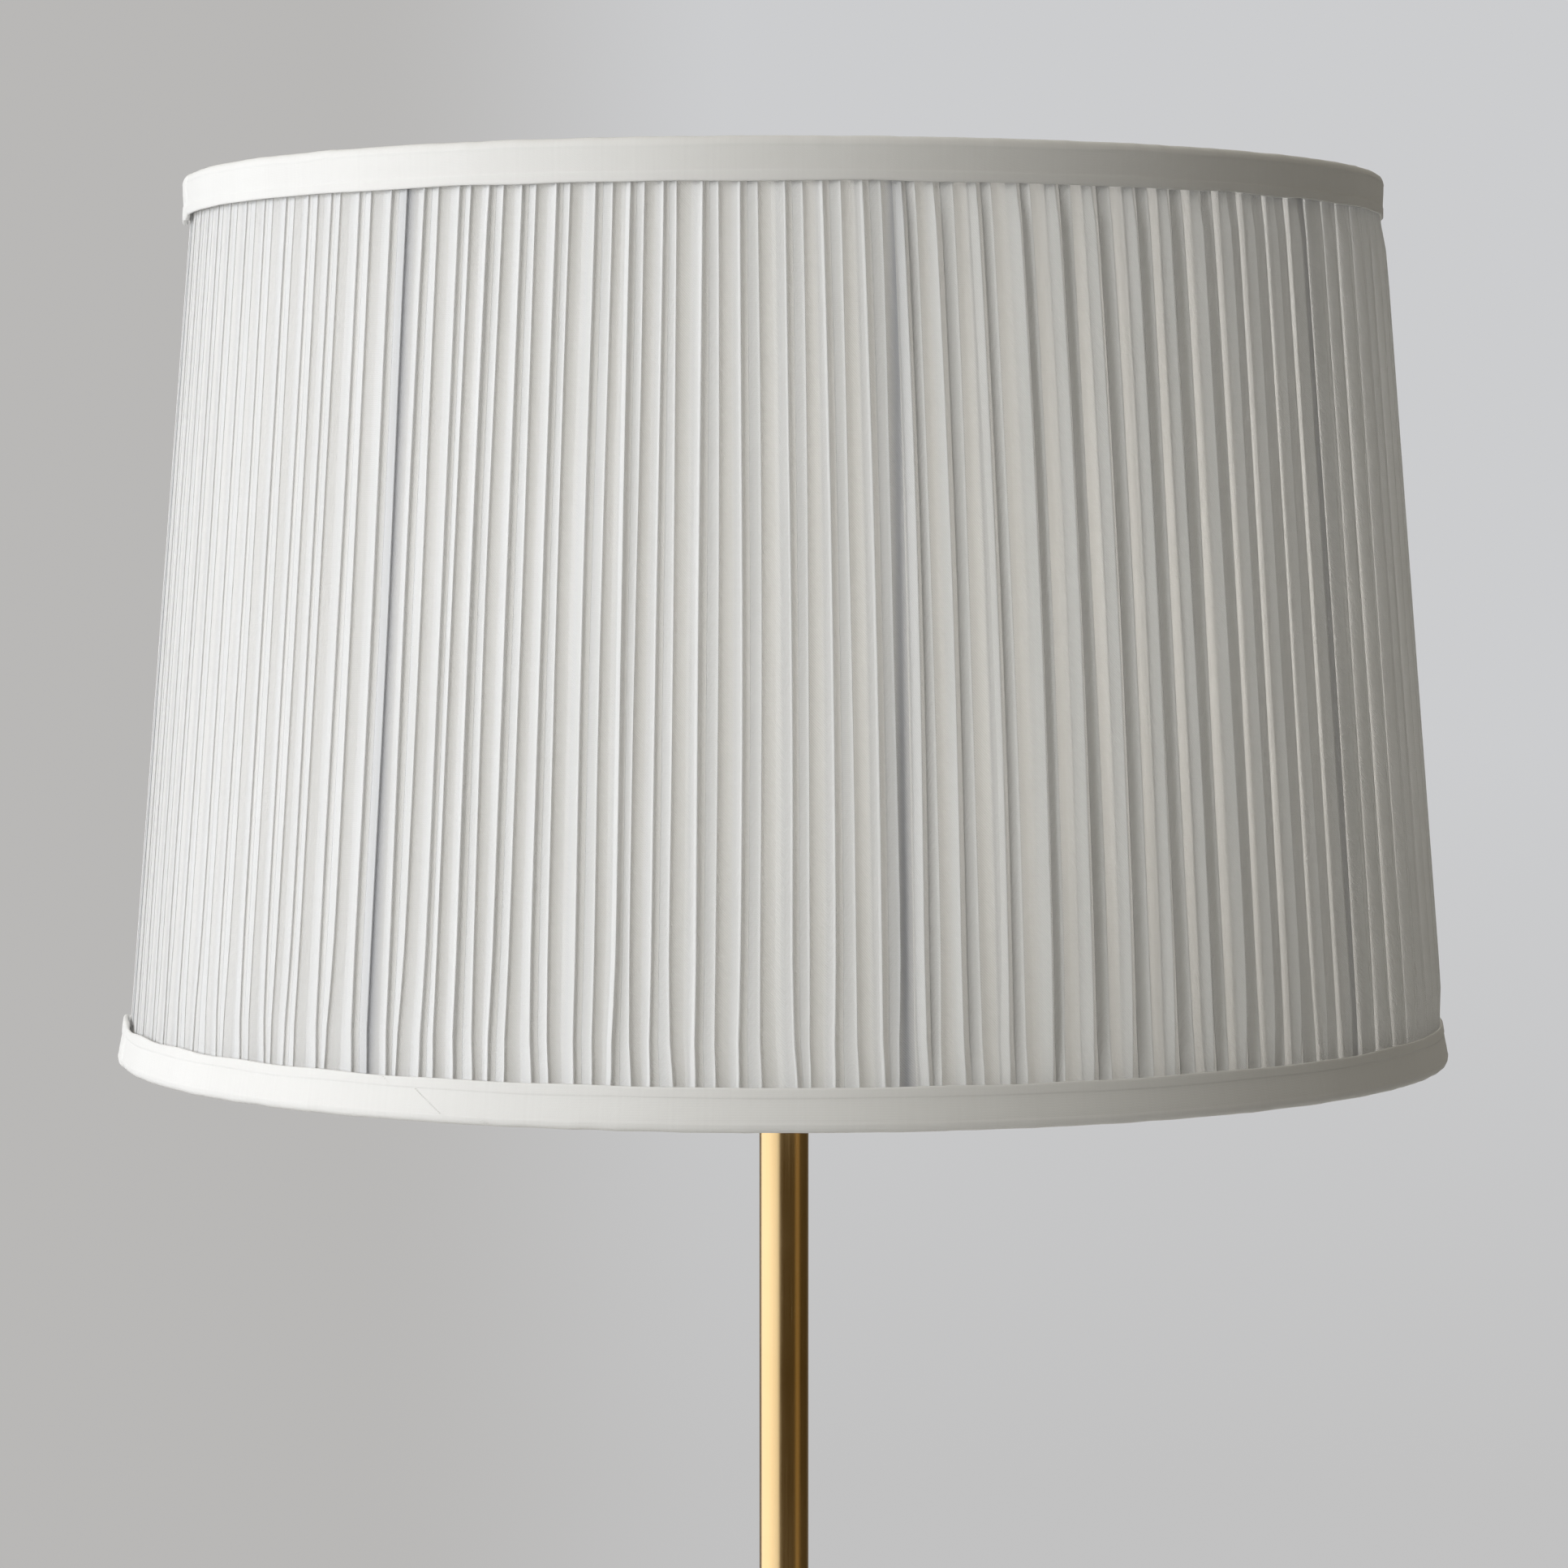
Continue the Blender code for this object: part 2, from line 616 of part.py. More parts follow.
for i in range(ARM_COUNT):
    turn = (0.0, 0.0, STRUT_START + math.tau * i / ARM_COUNT)
    arm = wire("spider_arm_%d" % (i + 1), arm_line, ARM_WIRE, "zinc_steel", shade,
               rotation=turn, share=first)
    first = first or arm


def binding(name, at_top):
    """Tape folded over an edge: outer leg, rolled edge over the ring, inner leg."""
    section = [
        # inset from the cover's outside (negative is outside it), distance from the edge
        (-GAP - 0.0008, TRIM_WIDTH),
        (-TRIM_BULGE, 0.0060),
        (-TRIM_BULGE + 0.0003, 0.0020),
        (0.0008, 0.0),
        (lining_inset, 0.0),
        (lining_inset + LINING_THICKNESS + GAP + TRIM_THICKNESS * 0.9, 0.0012),
        (lining_inset + LINING_THICKNESS + GAP + TRIM_THICKNESS * 0.9, TRIM_INSIDE),
        (lining_inset + LINING_THICKNESS + GAP, TRIM_INSIDE),
        (lining_inset + LINING_THICKNESS + GAP, TRIM_THICKNESS),
        (-GAP, TRIM_THICKNESS),
        (-GAP, TRIM_WIDTH),
    ]
    profile = []
    for inset, distance in section:
        height = SHADE_HEIGHT - distance if at_top else distance
        profile.append((cover_radius(height) - inset, height))
    if at_top:
        profile.reverse()
    return turned(name, profile, "binding_cloth", shade, SHADE_STEPS)


binding("shade_bottom_trim", False)
top_trim = binding("shade_top_trim", True)
for i in range(ARM_COUNT):
    half = ARM_WIRE + 0.0004
    notch = box("arm_notch_%d" % (i + 1), (0.1800, -half, SHADE_HEIGHT - 0.0200),
                (arm_end, half, SHADE_HEIGHT - TRIM_THICKNESS - 0.0001), CUTTERS)
    notch.rotation_euler = (0.0, 0.0, STRUT_START + math.tau * i / ARM_COUNT)
    as_cutter(notch, shade)
    cut(top_trim, notch)

# ---------------------------------------------------------------- finial
ring("finial_insert", STUD_RADIUS + 0.0004, 0.0046, 0.0, 0.0140, "plain_brass",
     finial_axis, TUBE_STEPS)
turned("finial", [
    (0.0, 0.0265),
    (0.0018, 0.0262),
    (0.0026, 0.0250),
    (0.0024, 0.0232),
    (0.0048, 0.0215),
    (0.0072, 0.0185),
    (0.0080, 0.0150),
    (0.0075, 0.0118),
    (0.0060, 0.0092),
    (0.0060, 0.0070),
    (0.0078, 0.0050),
    (0.0084, 0.0030),
    (0.0080, 0.0003),
    (0.0049, 0.0003),
    (0.0049, 0.0146),
    (0.0, 0.0165),
], "satin_brass", finial_axis, 20, closed=False)
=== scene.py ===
"""Looks of the brass floor lamp with a pleated shade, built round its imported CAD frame.

Everything is in metres with +Z up. The lamp stands on the origin and the camera looks along +Y.
Azimuths are measured from +X, counter-clockwise seen from above, so the front is at -90 degrees.
Only the world and the windows count theirs from the front, with minus to the left.
"""

import math

import bmesh
import bpy
import numpy as np
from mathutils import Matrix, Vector


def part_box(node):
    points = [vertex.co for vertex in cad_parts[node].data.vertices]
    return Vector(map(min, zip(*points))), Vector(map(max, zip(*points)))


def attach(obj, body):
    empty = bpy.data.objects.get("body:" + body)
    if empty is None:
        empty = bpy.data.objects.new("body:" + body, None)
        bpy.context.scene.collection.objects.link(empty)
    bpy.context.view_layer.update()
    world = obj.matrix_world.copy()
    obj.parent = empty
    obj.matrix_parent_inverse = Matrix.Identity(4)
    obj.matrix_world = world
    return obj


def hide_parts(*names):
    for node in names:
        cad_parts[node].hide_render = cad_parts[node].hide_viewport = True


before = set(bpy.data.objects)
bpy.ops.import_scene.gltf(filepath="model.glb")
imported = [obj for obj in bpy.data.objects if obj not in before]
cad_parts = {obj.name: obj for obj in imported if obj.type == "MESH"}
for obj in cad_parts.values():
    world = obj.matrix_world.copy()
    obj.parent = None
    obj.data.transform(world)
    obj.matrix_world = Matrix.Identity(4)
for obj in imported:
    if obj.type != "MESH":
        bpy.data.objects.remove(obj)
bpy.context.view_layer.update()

MM = 0.001
FRONT = -math.pi / 2


# ======== places read from the CAD
def low(node):
    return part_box(node)[0]


def high(node):
    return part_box(node)[1]


def middle_z(node):
    return (low(node).z + high(node).z) / 2


COVER_LOW, COVER_HIGH = low("shade_cover").z, high("shade_cover").z
SHADE_LOW, SHADE_HIGH = low("shade_bottom_trim").z, high("shade_top_trim").z
COVER_WIDE = high("shade_cover").x  # outside radius at the cover's lower edge


ON_LINE = 2e-6  # how near a point lies to the half section


def meridian(node, centre=(0.0, 0.0)):
    """The (radius, height) outline of a turned CAD node, in order round its half section."""
    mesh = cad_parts[node].data
    spots = []
    for vert in mesh.vertices:
        x, y = vert.co.x - centre[0], vert.co.y - centre[1]
        on_line = abs(y) < ON_LINE and x > -ON_LINE
        spots.append((round(max(x, 0.0), 6), round(vert.co.z, 6)) if on_line else None)
    links = {}
    for edge in mesh.edges:
        a, b = spots[edge.vertices[0]], spots[edge.vertices[1]]
        if a and b and a != b:
            links.setdefault(a, set()).add(b)
            links.setdefault(b, set()).add(a)
    ends = sorted(spot for spot, near in links.items() if len(near) == 1)
    line = [ends[-1] if ends else max(links, key=lambda s: (s[0], s[1]))]
    while True:
        ahead = sorted(spot for spot in links[line[-1]] if spot not in line)
        if not ahead:
            break
        line.append(ahead[-1])
    if ends:  # flat caps reach in to the axis
        if line[0][0] > 0:
            line.insert(0, (0.0, line[0][1]))
        if line[-1][0] > 0:
            line.append((0.0, line[-1][1]))
    return line, not ends


COVER_NARROW = max(radius for radius, height in meridian("shade_cover")[0]
                   if height > COVER_HIGH - MM)


def cover_radius(height):
    """Outside radius of the pleated cover at a height above the floor."""
    share = (height - COVER_LOW) / (COVER_HIGH - COVER_LOW)
    return COVER_WIDE + (COVER_NARROW - COVER_WIDE) * share


# ======== materials
class Paint:
    """One node tree. Every input takes either a plain value or another node's output."""

    def __init__(self, name, owner=None):
        self.owner = owner or bpy.data.materials.new(name)
        self.owner.use_nodes = True
        self.tree = self.owner.node_tree
        self.tree.nodes.clear()

    def feed(self, socket, value):
        if isinstance(value, bpy.types.NodeSocket):
            self.tree.links.new(value, socket)
        elif socket.type == "RGBA":
            socket.default_value = (*value, 1.0)
        else:
            socket.default_value = value

    def node(self, kind, inputs=None, **settings):
        made = self.tree.nodes.new("ShaderNode" + kind)
        for key, value in settings.items():
            setattr(made, key, value)
        for key, value in (inputs or {}).items():
            self.feed(made.inputs[key], value)
        return made

    def math(self, operation, a, b=0.0):
        return self.node("Math", {0: a, 1: b}, operation=operation).outputs[0]

    def hypotenuse(self, x, y):
        squares = self.math("ADD", self.math("MULTIPLY", x, x), self.math("MULTIPLY", y, y))
        return self.math("SQRT", squares)

    def place(self):
        return self.node("TexCoord").outputs["Object"]

    def split(self, vector):
        return self.node("SeparateXYZ", {0: vector}).outputs[:]

    def join(self, x, y, z):
        return self.node("CombineXYZ", {0: x, 1: y, 2: z}).outputs[0]

    def scaled(self, vector, by):
        return self.node("VectorMath", {0: vector, 1: by}, operation="MULTIPLY").outputs[0]

    def noise(self, vector, scale, detail=2.0, roughness=0.5):
        return self.node("TexNoise", {"Vector": vector, "Scale": scale, "Detail": detail,
                                      "Roughness": roughness}).outputs["Fac"]

    def spread(self, value, from_low, from_high, to_low=0.0, to_high=1.0, smooth=False):
        kind = "SMOOTHSTEP" if smooth else "LINEAR"
        return self.node("MapRange", {"Value": value, "From Min": from_low,
                                      "From Max": from_high, "To Min": to_low,
                                      "To Max": to_high}, interpolation_type=kind).outputs[0]

    def mix(self, share, a, b):
        mixer = self.node("Mix", {0: share}, data_type="RGBA")
        self.feed(mixer.inputs[6], a)
        self.feed(mixer.inputs[7], b)
        return mixer.outputs[2]

    def tinted(self, value, tint):
        return self.join(*(self.math("MULTIPLY", value, part) for part in tint))

    def bump(self, height, distance):
        return self.node("Bump", {"Height": height, "Distance": distance,
                                  "Strength": 1.0}).outputs[0]

    def shader(self, **inputs):
        named = {key.replace("_", " "): value for key, value in inputs.items()}
        return self.node("BsdfPrincipled", named).outputs[0]

    def blended(self, share, a, b):
        return self.node("MixShader", {0: share, 1: a, 2: b}).outputs[0]

    def done(self, surface, output="OutputMaterial"):
        self.node(output, {"Surface": surface})
        return self.owner


def brushed_metal(name, light, dark, roughness, brushing, coat=0.0):
    """Satin metal with fine lines: "along" the Z axis, or "round" it as on a lathe."""
    p = Paint(name)
    place = p.place()
    x, y, z = p.split(place)
    if brushing == "along":
        grain_at = p.scaled(place, (2300.0, 2300.0, 14.0))
    else:
        turned = p.join(p.hypotenuse(x, y), z, p.math("ARCTAN2", y, x))
        grain_at = p.scaled(turned, (2600.0, 2600.0, 0.8))
    grain = p.noise(grain_at, 1.0, 3.0, 0.6)
    broad = p.noise(grain_at, 0.22, 2.0, 0.5)
    cloud = p.noise(place, 16.0, 4.0, 0.6)
    tone = p.math("ADD", p.math("MULTIPLY", grain, 0.35), p.math("MULTIPLY", cloud, 0.65))
    colour = p.mix(p.spread(tone, 0.30, 0.70), dark, light)
    lines = p.math("ADD", grain, p.math("MULTIPLY", broad, 0.8))
    normal = p.bump(lines, 0.000012)
    rough = p.spread(p.math("ADD", grain, cloud), 0.6, 1.4, roughness - 0.05, roughness + 0.07)
    return p.done(p.shader(Base_Color=colour, Metallic=1.0, Roughness=rough, Normal=normal,
                           Coat_Weight=coat, Coat_Roughness=0.18))


def cast_metal(name, light, dark, roughness, grain_size, depth, metallic=1.0):
    """Plain metal with a cloudy tone and a fine skin."""
    p = Paint(name)
    place = p.place()
    cloud = p.noise(place, 45.0, 4.0, 0.6)
    grain = p.noise(place, 1.0 / grain_size, 3.0, 0.6)
    colour = p.mix(p.spread(cloud, 0.3, 0.7), dark, light)
    rough = p.spread(cloud, 0.3, 0.7, roughness - 0.06, roughness + 0.08)
    return p.done(p.shader(Base_Color=colour, Metallic=metallic, Roughness=rough,
                           Normal=p.bump(grain, depth)))


def smooth_skin(name, light, dark, roughness, depth, coat=0.0):
    """Enamel, rubber, moulded phenolic and card: a faintly uneven, non-metal skin."""
    p = Paint(name)
    place = p.place()
    cloud = p.noise(place, 60.0, 3.0, 0.5)
    skin = p.noise(place, 900.0, 2.0, 0.5)
    colour = p.mix(p.spread(cloud, 0.3, 0.7), dark, light)
    rough = p.spread(skin, 0.3, 0.7, roughness - 0.05, roughness + 0.05)
    return p.done(p.shader(Base_Color=colour, Roughness=rough, Coat_Weight=coat,
                           Normal=p.bump(skin, depth)))


def opal_glass(name):
    p = Paint(name)
    place = p.place()
    frost = p.noise(place, 1400.0, 2.0, 0.5)
    colour = p.mix(p.noise(place, 30.0, 2.0), (0.86, 0.86, 0.85), (0.92, 0.92, 0.91))
    front = p.shader(Base_Color=colour, Roughness=p.spread(frost, 0.3, 0.7, 0.22, 0.34),
                     Coat_Weight=0.3, Normal=p.bump(frost, 0.00001))
    back = p.node("BsdfTranslucent", {"Color": colour}).outputs[0]
    return p.done(p.blended(0.35, front, back))


def woven(name, light, dark, through, pitch, depth, strut_shadow_tint=None, folded_through=None):
    """Thin white cloth: a fine twill, faint slubs, and light that shows through it.

    The mesh carries "thread", which is (distance along the cloth, distance up it, 0) in metres.
    A pleated mesh also carries "fold", 1 where the cloth lies on itself and is denser, and also
    1 on the lit far left, where the denser setting is a painted brightening; and "strut", up to
    1 where a frame wire's painted shadow darkens the cloth to a bluer grey. The pitch is the
    twill's, and "through" is the share of light that passes.
    """
    p = Paint(name)
    thread = p.node("Attribute", attribute_name="thread").outputs["Vector"]
    along, across, _ = p.split(thread)
    diagonal = p.math("ADD", along, p.math("MULTIPLY", across, 0.9))
    twill = p.math("SINE", p.math("MULTIPLY", diagonal, math.tau / pitch))
    weft = p.math("SINE", p.math("MULTIPLY", across, math.tau / (pitch * 0.8)))
    weave = p.math("ADD", twill, p.math("MULTIPLY", weft, 0.4))
    streak = p.noise(p.scaled(thread, (900.0, 10.0, 1.0)), 1.0, 3.0, 0.6)
    slub = p.noise(p.scaled(thread, (140.0, 700.0, 1.0)), 1.0, 2.0, 0.5)
    cloud = p.noise(p.scaled(thread, (30.0, 9.0, 1.0)), 1.0, 3.0, 0.5)
    tone = p.math("ADD", p.math("MULTIPLY", streak, 0.45), p.math("MULTIPLY", cloud, 0.55))
    tone = p.math("ADD", tone, p.math("MULTIPLY", weave, 0.03))
    colour = p.mix(p.spread(tone, 0.28, 0.66), dark, light)
    # Painted shadow of the frame wires: where "strut" is high the cloth turns a darker, bluer
    # grey.
    if strut_shadow_tint:
        near = p.node("Attribute", attribute_name="strut").outputs["Fac"]
        colour = p.mix(near, colour, strut_shadow_tint)
    if folded_through is not None:
        fold = p.node("Attribute", attribute_name="fold").outputs["Fac"]
        through = p.spread(fold, 0.0, 1.0, through, folded_through)
    relief = p.math("ADD", p.math("MULTIPLY", weave, 0.5), p.math("MULTIPLY", slub, 0.5))
    normal = p.bump(relief, depth)
    front = p.shader(Base_Color=colour, Roughness=p.spread(slub, 0.2, 0.8, 0.72, 0.9),
                     Specular_IOR_Level=0.25, Sheen_Weight=0.08, Normal=normal)
    back = p.node("BsdfTranslucent", {"Color": colour, "Normal": normal}).outputs[0]
    return p.done(p.blended(through, front, back))


def felted(name):
    p = Paint(name)
    place = p.place()
    fibre = p.noise(place, 1500.0, 4.0, 0.7)
    patch = p.noise(place, 60.0, 3.0, 0.5)
    colour = p.mix(p.spread(fibre, 0.3, 0.7), (0.010, 0.010, 0.011), (0.045, 0.045, 0.047))
    return p.done(p.shader(Base_Color=colour, Roughness=p.spread(patch, 0.3, 0.7, 0.88, 0.98),
                           Sheen_Weight=0.3, Normal=p.bump(fibre, 0.0003)))


BRASS_LIGHT, BRASS_DARK = (0.87, 0.64, 0.34), (0.81, 0.57, 0.28)
PAINTS = {
    "brass_along": brushed_metal("satin_brass_drawn", BRASS_LIGHT, BRASS_DARK, 0.22, "along",
                                 0.3),
    "brass_round": brushed_metal("satin_brass_turned", BRASS_LIGHT, BRASS_DARK, 0.25, "round",
                                 0.3),
    "plain_brass": brushed_metal("plain_brass_turned", (0.80, 0.60, 0.28), (0.66, 0.47, 0.20),
                                 0.34, "round"),
    "brass_wire": cast_metal("plain_brass_wire", (0.80, 0.61, 0.30), (0.68, 0.49, 0.22), 0.30,
                             0.0008, 0.00001),
    "zinc_steel": cast_metal("zinc_plated_steel", (0.62, 0.63, 0.64), (0.48, 0.49, 0.50), 0.36,
                             0.0008, 0.000012),
    "nickel_cap": cast_metal("nickel_plate", (0.72, 0.71, 0.69), (0.62, 0.61, 0.59), 0.26,
                             0.001, 0.000008),
    "cast_iron": cast_metal("cast_iron", (0.055, 0.053, 0.050), (0.030, 0.029, 0.028), 0.72,
                            0.0016, 0.00018, metallic=0.5),
    "frame_wire": smooth_skin("white_enamel_wire", (0.82, 0.82, 0.80), (0.76, 0.76, 0.74), 0.36,
                              0.00002, coat=0.2),
    "phenolic": smooth_skin("black_phenolic", (0.022, 0.020, 0.019), (0.012, 0.011, 0.011), 0.30,
                            0.00001, coat=0.15),
    "rubber": smooth_skin("black_rubber", (0.030, 0.030, 0.030), (0.018, 0.018, 0.018), 0.62,
                          0.00002),
    "fibre_card": smooth_skin("fibre_card", (0.42, 0.31, 0.19), (0.33, 0.24, 0.14), 0.85,
                              0.00004),
    "frosted_glass": opal_glass("opal_glass"),
    "felt": felted("black_felt"),
    # The voile's strut tint is a painted shadow of the frame wires behind it.
    "cover": woven("pleated_voile", (0.945, 0.95, 0.955), (0.90, 0.905, 0.905), 0.58,
                   0.00075, 0.00005, strut_shadow_tint=(0.56, 0.575, 0.625), folded_through=0.42),
    "lining": woven("lining_voile", (0.90, 0.90, 0.90), (0.86, 0.86, 0.855), 0.72,
                    0.00050, 0.00001),
    "binding": woven("binding_twill", (0.83, 0.83, 0.82), (0.79, 0.788, 0.778), 0.06,
                     0.00062, 0.00003),
}


# ======== mesh helpers
WELD_DISTANCE = 1e-7
CREASE = math.radians(30)  # an outline's sharper bends stay corners
END_WIDTH, END_DEPTH = 0.55, 0.6  # of a wire's rounded end, as shares of its radius


def circle(steps):
    return np.arange(steps) * math.tau / steps


def polar(radius, turn, height, centre=(0.0, 0.0)):
    """Points round a vertical line; the arguments broadcast."""
    return np.stack([centre[0] + radius * np.cos(turn), centre[1] + radius * np.sin(turn),
                     height + 0.0 * turn], -1)


def shown(name, data):
    """A new object, linked to the scene."""
    thing = bpy.data.objects.new(name, data)
    bpy.context.scene.collection.objects.link(thing)
    return thing


def shown_mesh(name, verts, faces):
    mesh = bpy.data.meshes.new(name)
    mesh.from_pydata(np.asarray(verts, float).reshape(-1, 3).tolist(), [],
                     faces.tolist() if isinstance(faces, np.ndarray) else faces)
    return shown(name, mesh)


def add_piece(name, verts, faces, body, paint, stands_for=(), attributes=None):
    """A smooth mesh that rides on a body, takes one paint and stands for CAD nodes."""
    piece = shown_mesh(name, verts, faces)
    mesh = piece.data
    mesh.polygons.foreach_set("use_smooth", [True] * len(mesh.polygons))
    for key, values in (attributes or {}).items():
        values = np.asarray(values, np.float32)
        vector = values.ndim > 1 and values.shape[-1] == 3
        layer = mesh.attributes.new(key, "FLOAT_VECTOR" if vector else "FLOAT", "POINT")
        layer.data.foreach_set("vector" if vector else "value", values.ravel())
    mesh.materials.append(PAINTS[paint])
    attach(piece, body)
    if stands_for:
        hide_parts(*stands_for)
    return piece


def grid_faces(rows, columns, wrap_rows=False, wrap_columns=False):
    """Quads over a grid of points stored row by row."""
    r, c = np.meshgrid(np.arange(rows if wrap_rows else rows - 1),
                       np.arange(columns if wrap_columns else columns - 1), indexing="ij")
    r2, c2 = (r + 1) % rows, (c + 1) % columns
    quads = [r * columns + c, r * columns + c2, r2 * columns + c2, r2 * columns + c]
    return np.stack(quads, -1).reshape(-1, 4)


def capped_faces(rings, steps):
    """Faces of a tube whose points are stored ring by ring, with a flat face at each end."""
    faces = grid_faces(rings, steps, wrap_columns=True).tolist()
    return faces + [list(range(steps))[::-1], [(rings - 1) * steps + i for i in range(steps)]]


def weld(piece):
    """Merge doubled points, as at a turned piece's centre, and drop the empty faces."""
    bm = bmesh.new()
    bm.from_mesh(piece.data)
    bmesh.ops.remove_doubles(bm, verts=bm.verts, dist=WELD_DISTANCE)
    bmesh.ops.dissolve_degenerate(bm, edges=bm.edges, dist=WELD_DISTANCE)
    bm.to_mesh(piece.data)
    bm.free()
    return piece


def between(p0, p1, p2, p3, t):
    """The point a share t of the way from p1 to p2 on a smooth line through all four."""
    return 0.5 * (2 * p1 + (p2 - p0) * t + (2 * p0 - 5 * p1 + 4 * p2 - p3) * t * t
                  + (3 * p1 - p0 - 3 * p2 + p3) * t ** 3)


def eased(outline, closed, fillet):
    """A finer outline: gentle bends become curves, and sharp corners get a small fillet."""
    points = [np.array(p, float) for p in outline]
    count = len(points)

    def neighbours(i):
        """The points before and after, or None at an open end."""
        if not closed and i in (0, count - 1):
            return None
        return points[i - 1], points[(i + 1) % count]

    sharp = []
    for i, point in enumerate(points):
        near = neighbours(i)
        if near is None:
            sharp.append(True)
            continue
        a, b = point - near[0], near[1] - point
        sharp.append(abs(math.atan2(a[0] * b[1] - a[1] * b[0], a @ b)) > CREASE)
    fine = []
    for i, point in enumerate(points):
        near = neighbours(i)
        off_axis = point[0] >= 1e-9
        if sharp[i] and near is not None and off_axis:
            before, after = near[0] - point, near[1] - point
            reach = min(fillet, 0.4 * np.linalg.norm(before), 0.4 * np.linalg.norm(after))
            start = point + before / np.linalg.norm(before) * reach
            end = point + after / np.linalg.norm(after) * reach
            for t in (0.0, 0.33, 0.67, 1.0):
                fine.append((1 - t) ** 2 * start + 2 * t * (1 - t) * point + t * t * end)
        else:
            fine.append(point)
        if i == count - 1 and not closed:
            break
        j = (i + 1) % count
        if sharp[i] and sharp[j]:
            continue
        p0 = point if sharp[i] else points[i - 1]
        p3 = points[j] if sharp[j] else points[(j + 1) % count]
        fine += [between(p0, point, points[j], p3, t) for t in (0.25, 0.5, 0.75)]
    return np.array(fine)


def returned(node, body, paint, fillet=0.3 * MM, steps=96, centre=(0.0, 0.0)):
    """A finer turning of a turned CAD node, with eased edges, in its place."""
    outline, closed = meridian(node, centre)
    outline = eased(outline, closed, fillet)
    ahead = np.roll(outline, -1, 0)
    if np.sum(outline[:, 0] * ahead[:, 1] - ahead[:, 0] * outline[:, 1]) < 0:
        outline = outline[::-1]
    verts = polar(outline[:, :1], circle(steps), outline[:, 1:], centre)
    faces = grid_faces(len(outline), steps, wrap_rows=closed, wrap_columns=True)
    return weld(add_piece(node + "_fine", verts, faces, body, paint, (node,)))


def spline(control, per_span):
    """Points of a smooth line through a list of controls."""
    control = [np.array(p, float) for p in control]
    padded = [control[0], *control, control[-1]]
    points = [between(*padded[i:i + 4], t) for i in range(len(control) - 1)
              for t in np.arange(per_span) / per_span]
    return np.array([*points, control[-1]])


def tube_mesh(line, radius, sides, closed=False):
    """Verts and faces of a round wire along a line; a radius per point is allowed."""
    line = np.asarray(line, float)
    radii = np.broadcast_to(np.asarray(radius, float), (len(line),))
    if closed:
        ahead = np.roll(line, -1, 0) - np.roll(line, 1, 0)
    else:
        ahead = np.gradient(line, axis=0)
    ahead /= np.linalg.norm(ahead, axis=1)[:, None]
    side = np.cross(ahead[0], (0.0, 0.0, 1.0))
    if np.linalg.norm(side) < 1e-3:  # the wire starts upright
        side = np.cross(ahead[0], (0.0, 1.0, 0.0))
    turn = circle(sides)[:, None]
    verts = []
    for point, along, r in zip(line, ahead, radii):
        side = side - along * (side @ along)
        side /= np.linalg.norm(side)
        other = np.cross(along, side)
        verts.append(point + r * (np.cos(turn) * side + np.sin(turn) * other))
    if closed:
        faces = grid_faces(len(line), sides, wrap_rows=True, wrap_columns=True)
    else:
        faces = capped_faces(len(line), sides)
    return np.array(verts).reshape(-1, 3), faces


def rounded_ends(line, radius):
    """Points and radii that round off both ends of a wire."""
    line = np.asarray(line, float)
    swell = np.sin(math.pi / 2 * np.array([1 / 3, 2 / 3]))
    inset = (1 - np.sqrt(1 - swell ** 2))[:, None] * radius * END_DEPTH

    def inward(end, inner):
        return end + (inner - end) / np.linalg.norm(inner - end) * inset

    points = np.vstack([line[:1], inward(line[0], line[1]), line[1:-1],
                        inward(line[-1], line[-2])[::-1], line[-1:]])
    growing = radius * (END_WIDTH + (1 - END_WIDTH) * np.array([0.0, *swell]))
    return points, np.concatenate([growing, [radius] * (len(line) - 2), growing[::-1]])


def wire(node, line, radius, body, paint, sides, closed=False):
    """A drawn wire in place of a CAD node; an open one gets rounded ends."""
    if not closed:
        line, radius = rounded_ends(line, radius)
    verts, faces = tube_mesh(line, radius, sides, closed)
    return add_piece(node + "_fine", verts, faces, body, paint, (node,))


def wave(azimuth, seed, lowest, highest, count=8):
    """A smooth, seeded wave of about +-1 that closes round the circle."""
    rng = np.random.default_rng(seed)
    orders = rng.integers(lowest, highest + 1, count)
    phases = rng.uniform(0, math.tau, count)
    weights = rng.uniform(0.5, 1.0, count)
    total = sum(w * np.sin(k * azimuth + f) for k, f, w in zip(orders, phases, weights))
    return total / math.sqrt(np.sum(weights ** 2) / 2) / 1.6


# ======== camera
CAMERA_DISTANCE = 1.705
CAMERA_HEIGHT = SHADE_LOW + 0.181
CAMERA_DIP = 0.0513  # radians below level
LENS, SENSOR = 113.66, 36.0  # both in mm
camera_data = bpy.data.cameras.new("camera")
camera_data.sensor_width = SENSOR
camera_data.lens = LENS
camera_data.clip_start = 0.05
camera = shown("camera", camera_data)
camera.location = (0.0, -CAMERA_DISTANCE, CAMERA_HEIGHT)
camera.rotation_euler = (math.pi / 2 - CAMERA_DIP, 0.0, 0.0)
bpy.context.scene.camera = camera

# ======== foot
FOOT = "stand"
dish = returned("base_cover", FOOT, "brass_round", 0.5 * MM, 128)

